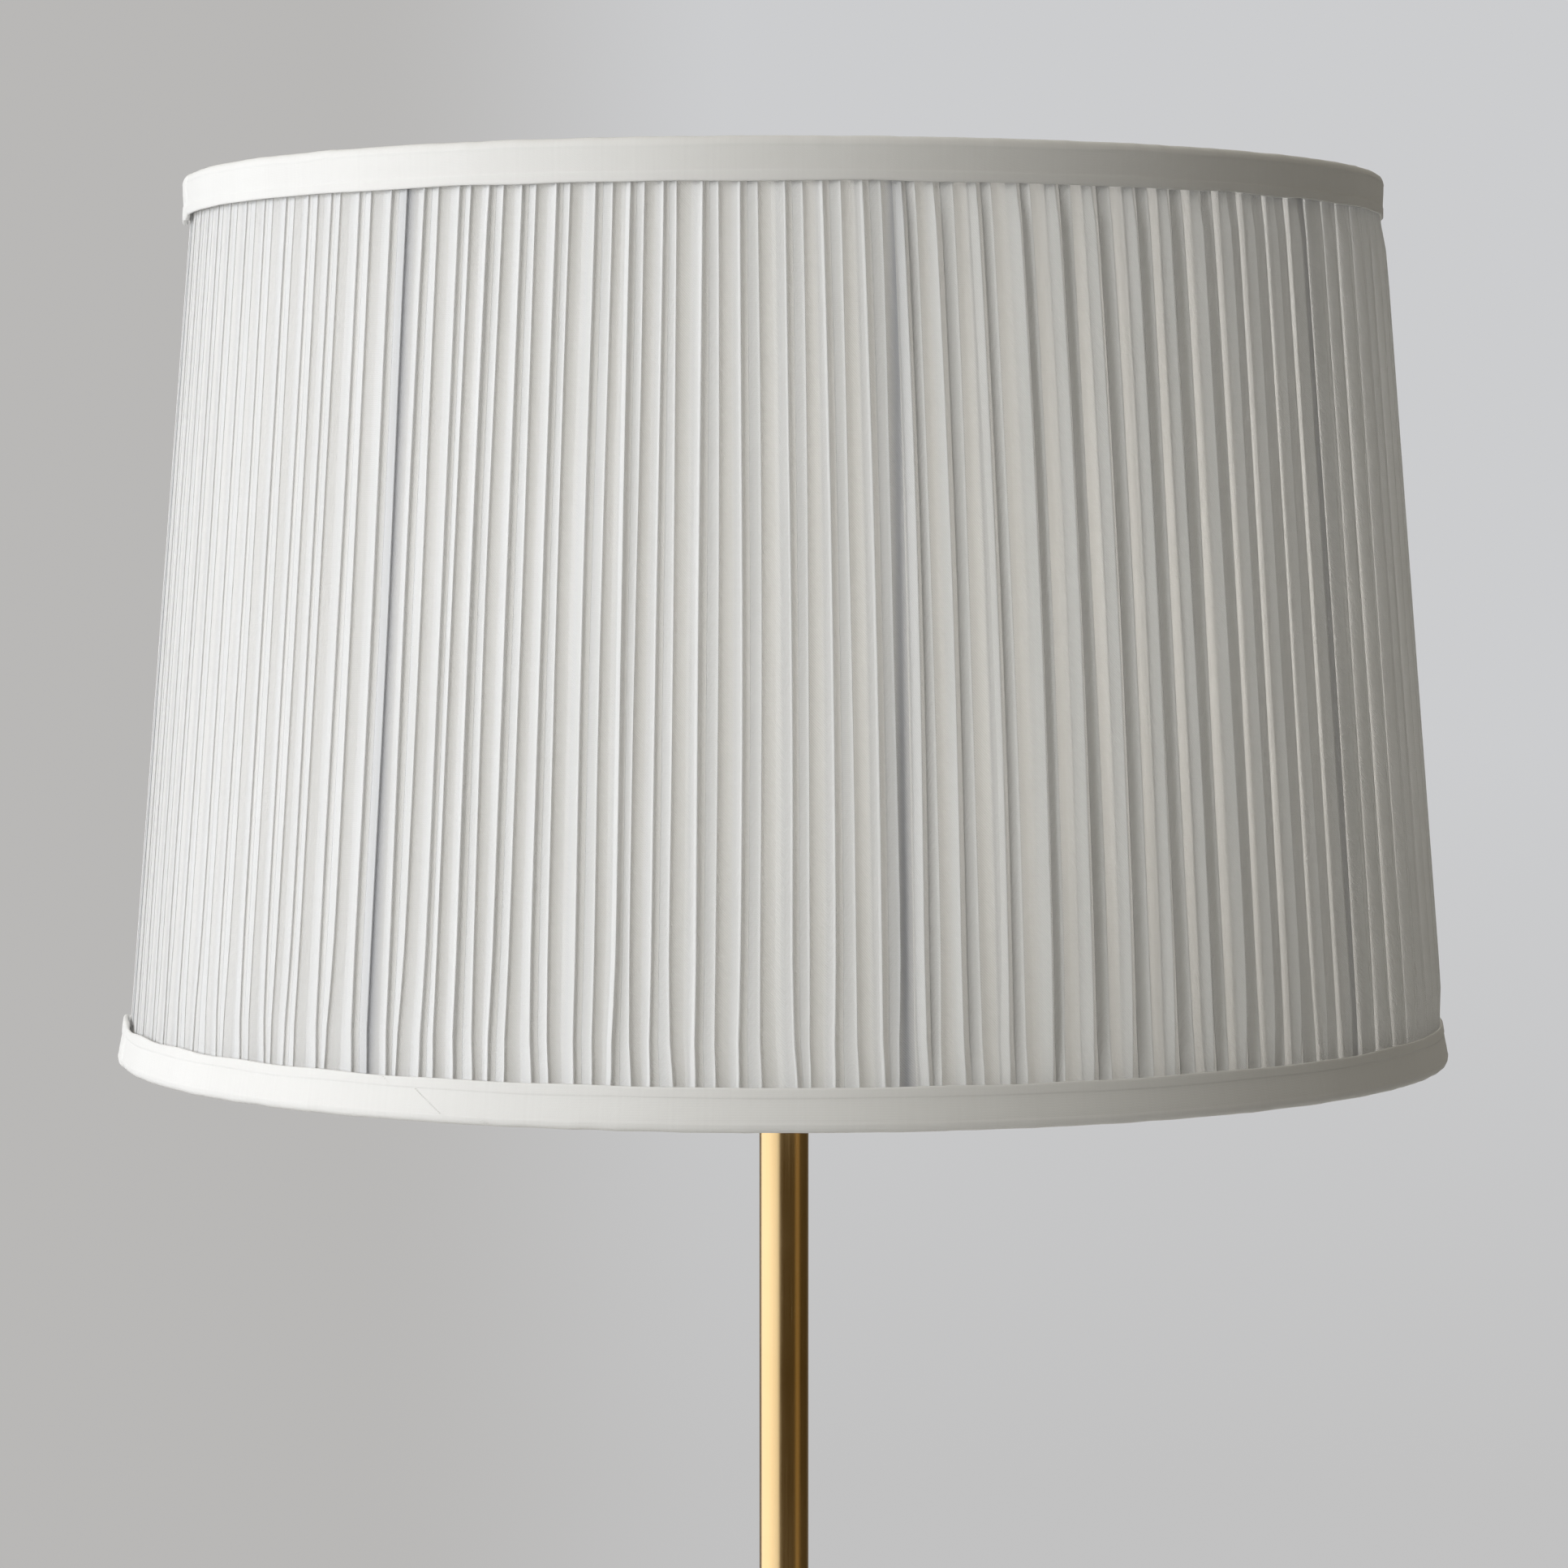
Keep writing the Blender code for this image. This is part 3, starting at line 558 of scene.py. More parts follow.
# The cord's inlet is cut through the back of the dish.
INLET_RADIUS, CUTTER_REACH = 4.1 * MM, 20 * MM
inlet = (low("cord_bushing") + high("cord_bushing")) / 2
cutter = shown_mesh("inlet_cutter", *tube_mesh(
    [(inlet.x, inlet.y + way * CUTTER_REACH, inlet.z) for way in (-1, 1)], INLET_RADIUS, 24))
hole = dish.modifiers.new("inlet", "BOOLEAN")
hole.operation, hole.solver, hole.object = "DIFFERENCE", "EXACT", cutter
bpy.context.view_layer.update()
cut_mesh = bpy.data.meshes.new_from_object(dish.evaluated_get(
    bpy.context.evaluated_depsgraph_get()))
dish.modifiers.clear()
dish.data = cut_mesh
bpy.data.objects.remove(cutter)

returned("base_collar", FOOT, "brass_round", 0.35 * MM)

felt = returned("base_felt", FOOT, "felt", 0.9 * MM, 128)

# The rubber bushing's outline is (radius, distance in from its face) in mm, laid along +Y.
BUSHING_OUTLINE = [(3.8, 0.0), (4.7, 0.0), (4.7, 1.4), (3.8, 1.4), (3.8, 3.2), (4.9, 3.3),
                   (4.8, 4.4), (4.2, 5.2), (3.4, 5.2), (3.0, 4.7), (3.0, 0.0)]
BUSHING_STEPS = 48
bushing_near, bushing_far = low("cord_bushing").y, high("cord_bushing").y
bushing_scale = (bushing_far - bushing_near) / max(depth for _, depth in BUSHING_OUTLINE)
bushing = eased([(r * MM, depth * bushing_scale) for r, depth in BUSHING_OUTLINE], True,
                0.25 * MM)
turn = circle(BUSHING_STEPS)
radius, depth = bushing[:, :1], bushing[:, 1:]
bushing_verts = np.stack([inlet.x + radius * np.sin(turn), bushing_near + depth + 0 * turn,
                          inlet.z + radius * np.cos(turn)], -1)
add_piece("cord_bushing_fine", bushing_verts,
          grid_faces(len(bushing), BUSHING_STEPS, wrap_rows=True, wrap_columns=True),
          FOOT, "rubber", ("cord_bushing",))

# ======== pole
for part in ("pole_lower", "pole_middle", "pole_upper"):
    returned(part, FOOT, "brass_along", 0.15 * MM)
for part in ("pole_joint_1", "pole_joint_2"):
    returned(part, FOOT, "brass_round", 0.3 * MM)
returned("neck_cap", FOOT, "brass_round", 0.25 * MM)

# ======== socket and switch
returned("socket_cap", FOOT, "plain_brass", 0.3 * MM)
returned("socket_shell", FOOT, "plain_brass", 0.2 * MM)

# ======== harp
HARP_WIRE = (high("harp_wire").y - low("harp_wire").y) / 2
SADDLE_TOP = low("harp_sleeve_left").z - 3.5 * MM
half_harp = [(29.2, 4.0), (29.2, 17.0), (29.2, 31.0), (37.5, 52.0), (50.0, 82.0), (56.5, 122.0),
             (52.0, 162.0), (37.0, 193.0), (18.5, 208.5), (6.0, 212.5)]
harp_control = half_harp + [(0.0, 212.5)] + [(-x, z) for x, z in reversed(half_harp)]
harp_line = [(x * MM, 0.0, SADDLE_TOP + z * MM) for x, z in harp_control]
wire("harp_wire", spline(harp_line, 8), HARP_WIRE, FOOT, "brass_wire", 20)
returned("harp_stud", FOOT, "plain_brass", 0.2 * MM, 64)
for label in ("left", "right"):
    node = "harp_sleeve_" + label
    middle = (low(node).x + high(node).x) / 2
    returned(node, "sleeve_" + label, "plain_brass", 0.2 * MM, 64,
             (middle, 0.0))

# ======== bulb
globe = returned("bulb_globe", "bulb", "frosted_glass", 0.2 * MM)
returned("bulb_insulator", "bulb", "phenolic", 0.3 * MM, 64)
returned("bulb_foot", "bulb_carriage", "nickel_cap", 0.3 * MM, 64)

# The cap's screw thread runs between a plain neck and a foot that draws in.
CAP_RINGS = CAP_STEPS = 64
THREAD_PITCH, THREAD_DEPTH, FOOT_TAPER = 3.6 * MM, 0.9 * MM, 1.6 * MM
cap_low, cap_high = low("bulb_cap").z, high("bulb_cap").z
z_grid, turn_grid = np.meshgrid(np.linspace(cap_low, cap_high, CAP_RINGS), circle(CAP_STEPS),
                                indexing="ij")
ridge = 0.5 + 0.5 * np.cos(math.tau * z_grid / THREAD_PITCH - turn_grid)
threaded = (np.clip((z_grid - cap_low - 2.5 * MM) / (1.5 * MM), 0, 1)
            * np.clip((cap_high - 3.0 * MM - z_grid) / (1.5 * MM), 0, 1))
foot_ease = np.clip((z_grid - cap_low) / (3.0 * MM), 0, 1) ** 0.5
cap_radius = (high("bulb_cap").x - 0.1 * MM - THREAD_DEPTH * (1 - ridge) * threaded
              - FOOT_TAPER * (1 - foot_ease))
add_piece("bulb_cap_fine", polar(cap_radius, turn_grid, z_grid),
          capped_faces(CAP_RINGS, CAP_STEPS), "bulb", "nickel_cap", ("bulb_cap",))

# ======== finial
returned("finial", "finial", "brass_round", 0.25 * MM)

# ======== shade frame
SHADE = "shade"
for label in ("bottom", "top"):
    node = "shade_%s_ring" % label
    ring_wire = (high(node).z - low(node).z) / 2
    loop = polar(high(node).x - ring_wire, circle(192), middle_z(node))
    wire(node, loop, ring_wire, SHADE, "frame_wire", 12, True)


def ray_of(node):
    """Azimuth of a piece that lies off the axis, from the middle of its mesh."""
    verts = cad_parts[node].data.vertices
    return math.atan2(sum(v.co.y for v in verts), sum(v.co.x for v in verts))


STRUT_RADIUS, ARM_RADIUS = 1.5 * MM, 1.6 * MM
STRUT_INSET = 3.4 * MM  # a strut's centre line, in from the cover
strut_rays = []
for i in range(8):
    node = "shade_strut_%d" % (i + 1)
    strut_rays.append(ray_of(node))
    z = np.linspace(low(node).z + 0.1 * MM, high(node).z - 0.1 * MM, 6)
    wire(node, polar(cover_radius(z) - STRUT_INSET, strut_rays[-1], z), STRUT_RADIUS, SHADE,
         "frame_wire", 14)

ring_z, hub_z = middle_z("shade_top_ring"), middle_z("spider_hub")
arm_end = high("shade_top_ring").x - 3.7 * MM
arm_profile = [(11.3 * MM, hub_z), (17.0 * MM, hub_z), (22.0 * MM, hub_z),
               (26.5 * MM, hub_z + 1.0 * MM), (30.0 * MM, hub_z + 3.5 * MM),
               (39.0 * MM, ring_z - 3.5 * MM), (42.5 * MM, ring_z - 1.0 * MM),
               (47.0 * MM, ring_z), (90.0 * MM, ring_z), (150.0 * MM, ring_z),
               (arm_end, ring_z)]
arm_radii, arm_heights = spline(arm_profile, 4).T
for i in range(4):
    node = "spider_arm_%d" % (i + 1)
    wire(node, polar(arm_radii, ray_of(node), arm_heights), ARM_RADIUS, SHADE,
         "zinc_steel", 14)
returned("spider_hub", SHADE, "zinc_steel", 0.35 * MM, 64)


# ======== pleated cover
def smooth_step(value, low_end, high_end):
    t = min(max((value - low_end) / (high_end - low_end), 0.0), 1.0)
    return t * t * (3 - 2 * t)


PLEAT_PAIRS = 103
NARROW_STRIP, WIDE_STRIP = 5.1, 7.9  # mean widths, before they are fitted to the ring
LEAST_STRIP = 2.6 * MM  # no strip may close up further
CLOTH_DEPTH = 1.75 * MM  # the cloth's lowest layer, in from the outside
HAIR = 0.07 * MM  # half the width of a step from one layer to two
HOLD_REACH, HOLD_FADE = 11 * MM, 9 * MM  # how far from an edge the tape presses the folds
HELD_CREST = 1.6  # mm, the tallest fold a tape leaves
STRUT_STRIPE = 3.0 * MM  # half the width of a wire's soft shadow


def pleated_cover():
    """One long voile, knife-pleated to the right round the frame, folds and all.

    Each pleat pair has a narrow and a wide strip. A strip climbs from under its left neighbour
    to its own fold edge, turns back beneath itself and comes forward again as the next strip.
    """
    rng = np.random.default_rng(20)
    strips = 2 * PLEAT_PAIRS
    rows = np.array([0, .012, .03, .055, .085, .12, .17, .23, .30, .38, .46, .54, .62, .70, .77,
                     .83, .88, .92, .95, .97, .985, .994, 1.0])
    heights = COVER_LOW + (COVER_HIGH - COVER_LOW) * rows

    # Fold edges, as arc lengths at the middle of the shade, for each row.
    middle_radius = (COVER_WIDE + COVER_NARROW) / 2
    around = math.tau * middle_radius
    narrow = NARROW_STRIP * (1 + 0.11 * rng.standard_normal(PLEAT_PAIRS).clip(-2, 2))
    wide = WIDE_STRIP * (1 + 0.12 * rng.standard_normal(PLEAT_PAIRS).clip(-2, 2))
    widths = np.stack([narrow, wide], 1).ravel()
    widths *= around / widths.sum()
    edges = np.cumsum(widths)  # right edge of each strip
    azimuth = math.pi / 2 + edges / middle_radius  # from the back, where it starts
    from_front = (azimuth - FRONT + math.pi) % math.tau - math.pi

    # From bottom (v = 0) to top (v = 1) an edge leans more and more, hooks at the top tape,
    # gathers with its neighbours at the bottom tape, and sways a little.
    v = rows[None, :]
    front_right = np.exp(-((from_front - 0.42) / 0.40) ** 2)
    lean = -4.5 * MM * front_right + 1.6 * MM * wave(azimuth, 3, 2, 6)
    shift = lean[:, None] * v ** 3
    hook = -1.4 * MM * front_right + 0.5 * MM * rng.standard_normal(strips).clip(-1.5, 1.5)
    shift = shift + hook[:, None] * np.exp(-(1 - v) / 0.022)
    gather = 1.1 * MM * rng.standard_normal(strips).clip(-1.6, 1.6)
    front_left = np.exp(-((from_front + 0.75) / 0.5) ** 2)
    gather *= 1 + 0.7 * front_left
    shift = shift + gather[:, None] * np.clip(1 - v / 0.20, 0, 1) ** 1.6
    sway_rate = rng.uniform(0.4, 1.3, strips)[:, None]
    sway_phase = rng.uniform(0, math.tau, strips)[:, None]
    shift = shift + 0.28 * MM * np.sin(math.tau * sway_rate * v + sway_phase)
    placed = edges[:, None] + shift
    # The strips have to keep the ring's length between them.
    spans = np.diff(np.vstack([placed[-1:] - around, placed]), axis=0)
    spans = np.maximum(spans, LEAST_STRIP)
    start = placed[-1] - around
    right = start + np.cumsum(spans, 0) * (around / spans.sum(0))
    left = np.vstack([right[-1:] - around, right[:-1]])

    # Cross-sections. A narrow strip is a ramp that steepens toward its fold edge. A wide strip
    # is flat and single, then steps up on to its own return, then tips up toward its edge.
    # Tall folds are pressed down where the tapes hold them. Toward the left the folds get
    # calmer. On the far left, the side the windows light, the cloth is set dense so that it
    # reflects more: a painted brightening of the lit side.
    columns, lifts, folds = [], [], []
    bound = np.minimum(rows, 1 - rows) * (COVER_HIGH - COVER_LOW)
    pressed = np.exp(-(np.maximum(bound - HOLD_REACH, 0) / HOLD_FADE) ** 2)

    def put(arc_length, lift, fold):
        """One column of the strip at hand; its lift is in mm."""
        columns.append(arc_length)
        lifts.append(lift * MM * (1 - max(1 - HELD_CREST / crest, 0.0) * pressed))
        folds.append(max(fold, lit_side_dense))

    for s in range(strips):
        start, w = left[s], right[s] - left[s]
        calm = 1 - 0.65 * smooth_step(-from_front[s], 0.45, 1.0)
        # Painted brightening: on the far left, toward the windows, the cloth is set dense so it
        # reflects more.
        lit_side_dense = smooth_step(-from_front[s], 0.75, 1.05)
        if s % 2:
            single = rng.uniform(0.47, 0.60) + 0.015 * np.sin(
                math.tau * rows * rng.uniform(.3, 1) + rng.uniform(0, math.tau))
            lip = (1.6 + 1.4 * smooth_step(from_front[s], 0.0, 0.45)) * rng.uniform(0.8, 1.25)
            tip = np.maximum(1 - lip * MM / w, single + 0.03)
            crest = min(0.26 + 0.93 * lip, 3.1) * calm
            dip = rng.uniform(0.0, 0.07)
            put(start, .16, 0)
            for u, past, lift, fold in ((0.05, 0, .05, 0), (0.25, 0, dip, 0),
                                        (single, -HAIR, .05, 0), (single, HAIR, .30, 1),
                                        (tip, -HAIR, .33, 1), (tip, 2 * HAIR, .42, 1),
                                        (0.5 * (1 + tip), 0, .50 * crest + .20, 1),
                                        (0.95, 0, .90 * crest, 1)):
                put(start + u * w + past, lift, fold)
            put(right[s], crest, 1)
            depth, under = 0.36, .33
        else:
            crest = 1.3 + 0.7 * smooth_step(from_front[s], 0.0, 0.45)
            crest = min(max(crest * (1 + 0.12 * rng.standard_normal()), 0.9), 2.3) * calm
            for u, h in ((0, .14), (.07, .07), (.22, .06), (.42, .13), (.62, .27), (.80, .50),
                         (.90, .68), (.95, .80), (1.0, 1.0)):
                put(start + u * w, h * crest, 1)
            depth, under = 0.62, .30 * crest
        put(right[s] + 0.11 * MM, crest - 0.14, 1)  # the fold's nose
        put(right[s] + 0.06 * MM, crest - 0.27, 1)
        put(right[s] - 0.10 * w, 0.62 * crest, 1)  # back beneath the strip
        put(right[s] - (depth - 0.05) * w, 0.55 * under, 1)
        put(right[s] - depth * w - 0.05 * MM, 0.40 * under, 1)
        put(right[s] - (depth - 0.08) * w, 0.24 * under, 1)  # and forward again
        put(right[s] - 0.06 * w, 0.30 * crest, 1)

    arc = np.array(columns).T  # rows x columns
    folded = np.array(folds)  # one value a column
    turn = math.pi / 2 + arc / middle_radius
    verts = polar(cover_radius(heights)[:, None] - CLOTH_DEPTH + np.array(lifts).T, turn,
                  heights[:, None])
    step = np.linalg.norm(np.diff(verts, axis=1, append=verts[:, :1]), axis=2).mean(0)
    along = np.concatenate([[0.0], np.cumsum(step)[:-1]])
    thread = np.stack([np.broadcast_to(along, turn.shape), heights[:, None] + 0 * turn,
                       0 * turn], -1)
    # Painted shadow of the frame wires: a soft darker stripe over each strut, fainter where the
    # cloth is folded.
    strut = np.zeros_like(turn)
    for ray in strut_rays:
        off = (turn - ray + math.pi) % math.tau - math.pi
        strut = np.maximum(strut, np.exp(-(off * middle_radius / STRUT_STRIPE) ** 2))
    piece = add_piece("shade_cover_pleats", verts,
                      grid_faces(len(rows), arc.shape[1], wrap_columns=True), SHADE,
                      "cover", ("shade_cover",),
                      {"thread": thread, "strut": strut * (0.85 - 0.6 * folded),
                       "fold": np.broadcast_to(folded, turn.shape)})
    return piece, float(step.sum())


cover, cover_length = pleated_cover()


# ======== lining
def stretched_lining():
    """A plain voile drawn tight inside the wires, with one lapped seam at the back."""
    lining_low, lining_high = low("shade_lining").z, high("shade_lining").z
    inset = cover_radius(lining_low) - high("shade_lining").x
    rows = np.linspace(lining_low, lining_high, 15)
    seam = math.pi / 2
    turn = seam + np.linspace(0, math.tau, 288, endpoint=False)
    turn_grid, z_grid = np.meshgrid(turn, rows)
    pull = np.clip(1 - np.minimum(z_grid - lining_low, lining_high - z_grid) / 0.05, 0, 1)
    ripple = 0.22 * MM * (0.5 + 0.5 * wave(turn_grid, 8, 30, 90, 10)) * (0.35 + 0.65 * pull)
    off = (turn_grid - seam + math.pi) % math.tau - math.pi
    lap = 0.35 * MM * np.clip(1 - np.abs(off) / 0.020, 0, 1) ** 0.3
    reach = cover_radius(z_grid) - inset - 0.15 * MM - ripple - lap
    verts = polar(reach, turn_grid, z_grid)
    thread = np.stack([turn_grid * 0.208, z_grid, 0 * z_grid], -1)
    piece = add_piece("shade_lining_voile", verts,
                      grid_faces(len(rows), len(turn), wrap_columns=True), SHADE,
                      "lining", ("shade_lining",), {"thread": thread})
    middle = (cover_radius(lining_low) + cover_radius(lining_high)) / 2 - inset
    return piece, (round(math.tau * middle, 3), round(lining_high - lining_low, 3))


lining, lining_size = stretched_lining()


# ======== binding
TAB_FROM, TAB_TO = math.radians(-175.8), math.radians(-168.3)  # lapped end of each tape
TAB_STEP = 0.0006  # radians, half the width of the step at its ends
TAB_THICK, TAB_DROP = 0.62 * MM, 1.9 * MM  # how far it stands out and hangs past the tape
OUTSIDE_POINTS = 24  # of the section below, from the free edge inward


def binding(node, at_top, seed):
    """Bias tape rolled over a ring: folded-in edges show as faint ridges along it."""
    edge_z = SHADE_HIGH if at_top else SHADE_LOW
    into = -1.0 if at_top else 1.0
    turn = np.linspace(-math.pi, math.pi, 720, endpoint=False)
    border = [end + way * TAB_STEP for end in (TAB_FROM, TAB_TO) for way in (-1, 1)]
    turn = np.sort(np.concatenate([turn, border]))
    edge_wave = 0.22 * MM * wave(turn, seed, 5, 40, 12)
    fold_wave = 0.16 * MM * wave(turn, seed + 1, 4, 30, 12)
    roll_wave = 0.14 * MM * wave(turn, seed + 2, 20, 90, 14)
    pucker = 0.10 * MM * np.clip(wave(turn, seed + 3, 60, 160, 16), 0, 3)
    lapped = ((turn > TAB_FROM) & (turn < TAB_TO)).astype(float)
    # (distance out from the cover's outside, distance from the shade's edge) in mm, and how far
    # each point follows the wave of the free edge, the folded ridge and the rolled edge.
    section = [
        (-0.15, 13.40, 1, 0, 0), (0.20, 13.62, 1, 0, 0), (0.66, 13.62, 1, 0, 0),
        (0.90, 13.35, 1, 0, 0), (0.98, 12.70, 1, 0, 0), (1.04, 11.60, .6, .4, 0),
        (1.12, 10.90, .2, .8, 0), (1.12, 10.62, 0, 1, 0), (0.97, 10.42, 0, 1, 0),
        (0.98, 10.10, 0, 1, 0), (1.10, 9.00, 0, .5, 0), (1.28, 7.40, 0, 0, 0),
        (1.48, 6.00, 0, 0, 0), (1.62, 4.60, 0, 0, .2), (1.70, 3.60, 0, .4, .4),
        (1.72, 3.10, 0, 1, .5), (1.84, 2.86, 0, 1, .5), (1.80, 2.40, 0, .6, .6),
        (1.60, 1.50, 0, 0, .8), (1.10, 0.70, 0, 0, 1), (0.30, 0.18, 0, 0, 1),
        (-0.90, 0.0, 0, 0, 1), (-2.60, -0.05, 0, 0, 1), (-4.40, 0.02, 0, 0, 1),
        (-5.90, 0.35, 0, 0, .7), (-6.85, 1.10, 0, 0, .4), (-7.15, 2.40, 0, 0, 0),
        (-7.15, 5.50, 0, 0, 0), (-7.15, 9.20, 1, 0, 0), (-6.95, 9.55, 1, 0, 0),
        (-6.45, 9.50, 1, 0, 0), (-6.25, 9.10, 1, 0, 0), (-6.25, 5.00, 0, 0, 0),
        (-6.20, 2.00, 0, 0, 0), (-5.70, 1.25, 0, 0, 0), (-4.40, 1.00, 0, 0, 0),
        (-1.60, 1.00, 0, 0, 0), (-0.40, 1.60, 0, 0, 0), (-0.12, 3.00, 0, 0, 0),
        (-0.15, 8.00, 0, 0, 0),
    ]
    count = len(section)
    out = np.zeros((count, len(turn)))
    down = np.zeros_like(out)
    for i, (o, d, e, f, r) in enumerate(section):
        out[i] = o * MM + pucker * (0.6 * r + 0.25 * f)
        down[i] = d * MM + e * edge_wave + f * fold_wave + r * (roll_wave * 0.5 - pucker * 0.6)
        if i < OUTSIDE_POINTS:  # the lapped end lies over it
            share = min(1.0, o + 0.15) if d > 1 else 0.7
            out[i] += lapped * max(share, 0.0) * TAB_THICK
            if d > 10.8:  # beyond the folded ridge
                down[i] += lapped * TAB_DROP
    z = edge_z + into * down
    verts = polar(cover_radius(z) + out, turn, z)
    span = np.array([(o * MM, d * MM) for o, d, *_ in section])
    climb = np.concatenate([[0], np.cumsum(np.linalg.norm(np.diff(span, axis=0), axis=1))])
    thread = np.stack(np.broadcast_arrays(turn * 0.21, climb[:, None], 0.0 * turn), -1)
    faces = grid_faces(count, len(turn), True, True)
    if not at_top:
        faces = faces[:, ::-1]
    piece = add_piece(node + "_tape", verts, faces, SHADE, "binding", (node,),
                      {"thread": thread})


binding("shade_bottom_trim", False, 41)
binding("shade_top_trim", True, 61)

STITCH_PITCH, STITCH_REACH = 0.75 * MM, 0.42 * MM  # from one to the next, and half a length
STITCH_RADII = [0.05 * MM, 0.13 * MM, 0.13 * MM, 0.05 * MM]


def tape_face(distance):
    """How far the bottom tape stands out from the cover at a distance above its edge."""
    return np.interp(distance, [1.5 * MM, 2.9 * MM, 4.6 * MM, 7.4 * MM, 10.4 * MM, 13.4 * MM],
                     [1.62 * MM, 1.84 * MM, 1.62 * MM, 1.28 * MM, 1.0 * MM, 0.92 * MM])


def stitched_seam(runs):
    """Small slanted stitches over the bottom tape's diagonal join, in runs from end to end.

    Each end is (azimuth, height above the shade's edge).
    """
    rng = np.random.default_rng(5)
    verts, faces = [], []
    for first, last in np.array(runs):
        length = math.hypot((last[0] - first[0]) * cover_radius(SHADE_LOW), last[1] - first[1])
        number = max(3, int(length / STITCH_PITCH))
        for i in range(number):
            azimuth, above = first + (last - first) * (i + 0.5) / number
            slant = 0.2 + rng.uniform(-0.25, 0.25)
            line = []
            for t in (-1.0, -0.4, 0.4, 1.0):
                turn = azimuth + t * STITCH_REACH * math.cos(slant) / cover_radius(SHADE_LOW)
                z = SHADE_LOW + above + t * STITCH_REACH * math.sin(slant)
                reach = cover_radius(z) + tape_face(above) + 0.10 * MM * (1 - t * t)
                line.append((reach * math.cos(turn), reach * math.sin(turn), z))
            stitch_verts, stitch_faces = tube_mesh(line, STITCH_RADII, 6)
            faces += [[k + len(verts) for k in face] for face in stitch_faces]
            verts += stitch_verts.tolist()
    add_piece("shade_bottom_tape_stitches", verts, faces, SHADE, "binding", (),
              {"thread": np.zeros((len(verts), 3))})


JOIN = math.radians(-123.2)
stitched_seam([
    ((JOIN, 13.3 * MM), (JOIN + 0.015, 10.9 * MM)),
    ((JOIN + 0.055, 10.3 * MM), (JOIN + 0.100, 3.1 * MM)),
    ((JOIN + 0.155, 2.6 * MM), (JOIN + 0.172, 0.9 * MM)),
])

# ======== CAD nodes shown as they are
KEPT = {  # paint, and the width of the eased edges
    "base_weight": ("cast_iron", 0.8 * MM), "base_washer": ("zinc_steel", 0.15 * MM),
    "base_nut": ("zinc_steel", 0.3 * MM), "base_nipple": ("zinc_steel", None),
    "pole_foot_insert": ("plain_brass", None), "pole_head_insert": ("plain_brass", None),
    "neck_nipple": ("zinc_steel", None), "harp_saddle": ("zinc_steel", 0.35 * MM),
    "socket_liner": ("fibre_card", None), "socket_core": ("phenolic", None),
    "socket_contact": ("plain_brass", None), "socket_screw_shell": ("plain_brass", None),
    "switch_stem": ("plain_brass", 0.15 * MM), "switch_knob": ("phenolic", 0.35 * MM),
    "finial_insert": ("plain_brass", None),
}
for node, (paint, bevel) in KEPT.items():
    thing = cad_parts[node]
    thing.data.materials.clear()
    thing.data.materials.append(PAINTS[paint])
    if bevel:
        modifier = thing.modifiers.new("eased_edges", "BEVEL")
        modifier.width = bevel
        modifier.segments = 2
        modifier.limit_method = "ANGLE"
        modifier.angle_limit = math.radians(40)

# ======== floor, world and lights
FLOOR_RADIUS, FLOOR_STEPS, FLOOR_RINGS = 3.6, 96, 12
floor_rings = np.linspace(0.0, FLOOR_RADIUS, FLOOR_RINGS + 1)[1:]
floor_verts = np.vstack([[(0.0, 0.0, 0.0)], polar(floor_rings[:, None], circle(FLOOR_STEPS),
                                                  0.0 * floor_rings[:, None]).reshape(-1, 3)])
floor_faces = [(0, 1 + i, 1 + (i + 1) % FLOOR_STEPS) for i in range(FLOOR_STEPS)]
floor_faces += (grid_faces(FLOOR_RINGS, FLOOR_STEPS, wrap_columns=True)[:, ::-1] + 1).tolist()
floor = shown_mesh("studio_floor", floor_verts, floor_faces)
floor.location.z = -0.0002  # clear of the felt

p = Paint("studio_floor")
place = p.place()
x, y, _ = p.split(place)
fade = p.spread(p.hypotenuse(x, y), 0.9, FLOOR_RADIUS - 0.1, smooth=True)
tone = p.mix(p.noise(place, 3.0, 3.0), (0.78, 0.78, 0.775), (0.81, 0.81, 0.805))
ground = p.shader(Base_Color=tone, Roughness=0.9, Specular_IOR_Level=0.1)
clear = p.node("BsdfTransparent").outputs[0]
floor.data.materials.append(p.done(p.blended(fade, ground, clear)))


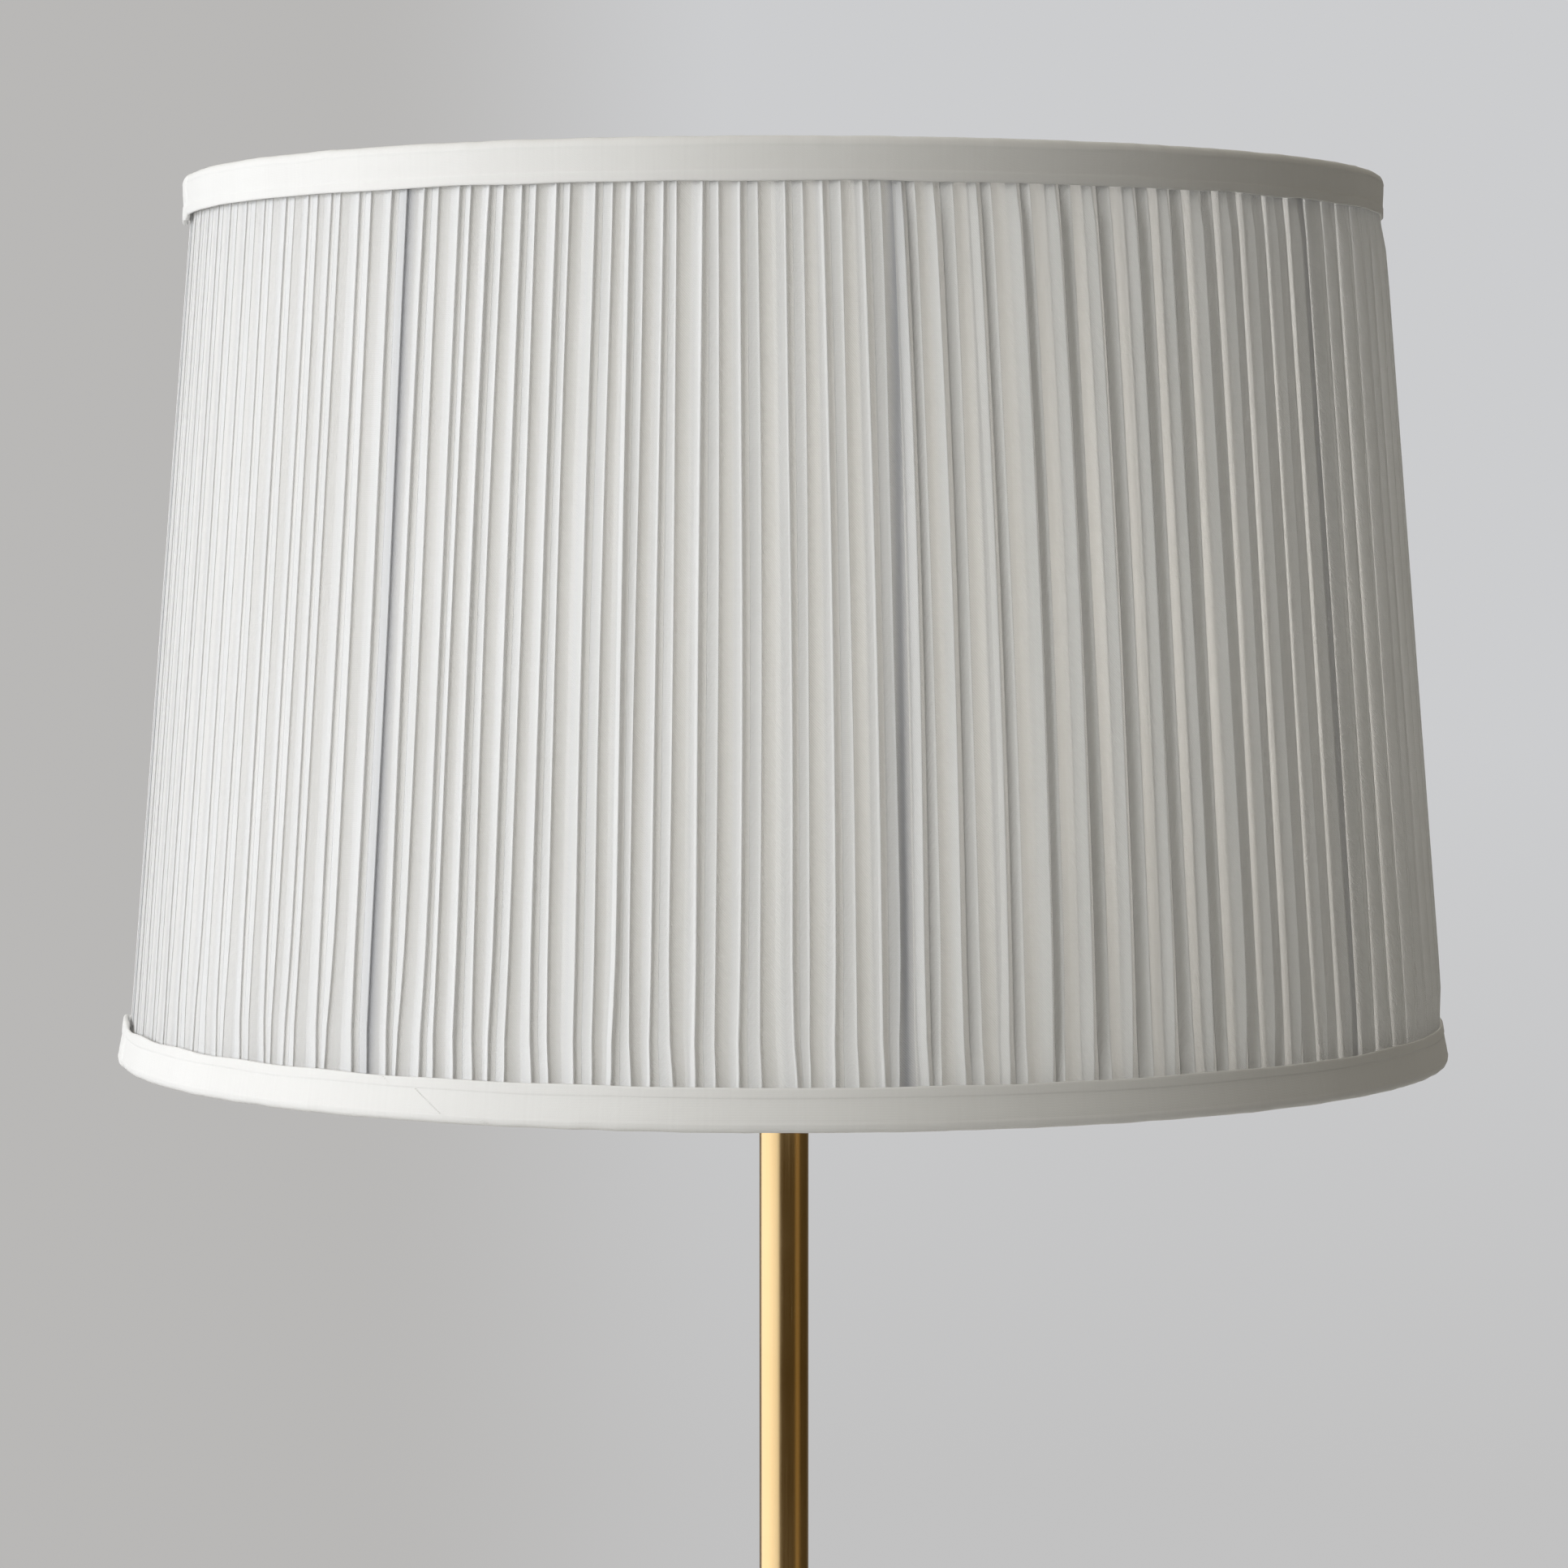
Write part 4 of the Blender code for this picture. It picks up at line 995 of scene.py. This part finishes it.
def studio_world():
    """A pale wall for the eye, a soft bright side for metal, and gentle fill for the rest."""
    bpy.context.scene.world = bpy.data.worlds.new("studio")
    p = Paint("studio", bpy.context.scene.world)
    radians = math.radians
    x, y, z = p.split(p.node("TexCoord").outputs["Generated"])
    azimuth = p.math("ARCTAN2", x, p.math("MULTIPLY", y, -1.0))

    # What metal mirrors: a wide window side, one weak strip on the right, a dim room.
    window = p.math("MULTIPLY",
                    p.spread(azimuth, radians(-140), radians(-126), smooth=True),
                    p.spread(azimuth, radians(-25), radians(-16), 1.0, 0.0, smooth=True))
    window = p.math("MULTIPLY", window,
                    p.spread(azimuth, radians(-76), radians(-15), 1.35, 0.85))
    strip = p.math("MULTIPLY",
                   p.spread(azimuth, radians(48), radians(62), smooth=True),
                   p.spread(azimuth, radians(70), radians(84), 1.0, 0.0, smooth=True))
    behind = p.spread(p.math("ABSOLUTE", azimuth), radians(125), radians(160), smooth=True)
    above = p.spread(z, 0.35, 0.85, 0.0, 0.55, smooth=True)
    bright = p.math("MAXIMUM", p.math("ADD", p.math("MULTIPLY", behind, 0.40), window), above)
    dim = p.math("ADD", p.math("MULTIPLY", strip, 0.16), 0.05)
    mirror = p.mix(p.math("MINIMUM", bright, 1.0), p.tinted(dim, (1.2, 0.86, 0.36)),
                   p.join(bright, bright, bright))

    # Fill: the pale wall behind and the ceiling above send some light back.
    fill = p.math("ADD", p.math("MULTIPLY", behind, 0.24), p.spread(z, 0.1, 0.8, 0.045, 0.46))
    fill = p.math("ADD", fill, p.spread(z, -0.3, -0.9, 0.0, 0.06))
    fill = p.tinted(fill, (1.06, 1.0, 0.87))

    # The wall seen by the eye is a little brighter to the upper right.
    glow = p.math("MULTIPLY", p.spread(x, -0.09, 0.0, smooth=True), p.spread(y, 0.6, 0.95))
    glow = p.math("MULTIPLY", glow, p.spread(z, -0.19, -0.03, 0.45, 1.05))
    wall = p.mix(glow, (0.485, 0.478, 0.470), (0.605, 0.610, 0.622))

    path = p.node("LightPath")
    level = p.mix(path.outputs["Is Glossy Ray"], fill, mirror)
    seen = p.mix(path.outputs["Is Camera Ray"], level, wall)
    background = p.node("Background", {"Color": seen, "Strength": 1.0})
    p.done(background.outputs[0], "OutputWorld")


studio_world()


def new_light(name, kind, power, colour, location):
    lamp = shown(name, bpy.data.lights.new(name, kind))
    lamp.data.energy = power
    lamp.data.color = colour
    lamp.location = location
    return lamp


def area_light(name, size, power, colour, location, rotation):
    """A rectangle of light that neither the camera nor the metal sees."""
    lamp = new_light(name, "AREA", power, colour, location)
    lamp.data.shape = "RECTANGLE"
    lamp.data.size, lamp.data.size_y = size
    lamp.rotation_euler = rotation
    lamp.visible_camera = lamp.visible_glossy = False
    return lamp


# Two soft boxes side by side stand for a window and aim at the shade's middle.
WINDOW_SIZE, WINDOW_DISTANCE, WINDOW_ELEVATION = (1.5, 1.9), 2.6, math.radians(12)
target = Vector((0.0, 0.0, (SHADE_LOW + SHADE_HIGH) / 2))
for name, azimuth, power, colour in (("window_near", -43, 37.0, (1.0, 0.995, 0.975)),
                                     ("window_side", -80, 36.5, (0.975, 1.0, 1.06))):
    a, e = math.radians(azimuth), WINDOW_ELEVATION
    toward = Vector((math.sin(a) * math.cos(e), -math.cos(a) * math.cos(e), math.sin(e)))
    area_light(name, WINDOW_SIZE, power, colour, target + toward * WINDOW_DISTANCE,
               toward.to_track_quat("Z", "Y").to_euler())

# A weak warm glow from the bulb; its own glass doesn't shadow it.
GLOW_COLOUR = (1.0, 0.95, 0.88)
bulb_middle = (low("bulb_globe") + high("bulb_globe")) / 2
glow = new_light("bulb_glow", "POINT", 0.30, GLOW_COLOUR, bulb_middle + Vector((0.02, 0.0, 0.0)))
glow.data.shadow_soft_size = 0.03
globe.visible_shadow = False

# Daylight that crosses the shade and lights its far side from inside. The strip stands upright
# on the axis and faces right and a little to the front.
cross = area_light("shade_glow", (0.06, 0.22), 0.32, GLOW_COLOUR, (0.02, 0.0, SHADE_LOW + 0.14),
                   (math.pi / 2, 0.0, math.radians(248)))

# Both stand so close to the bulb's glass that they would burn it out, so they spare it.
spared = bpy.data.collections.new("spared_by_the_glow")
spared.objects.link(globe)
spared.collection_objects[0].light_linking.link_state = "EXCLUDE"
for lamp in (glow, cross):
    lamp.light_linking.receiver_collection = spared

bpy.context.scene.view_settings.view_transform = "Standard"
bpy.context.scene.view_settings.look = "None"
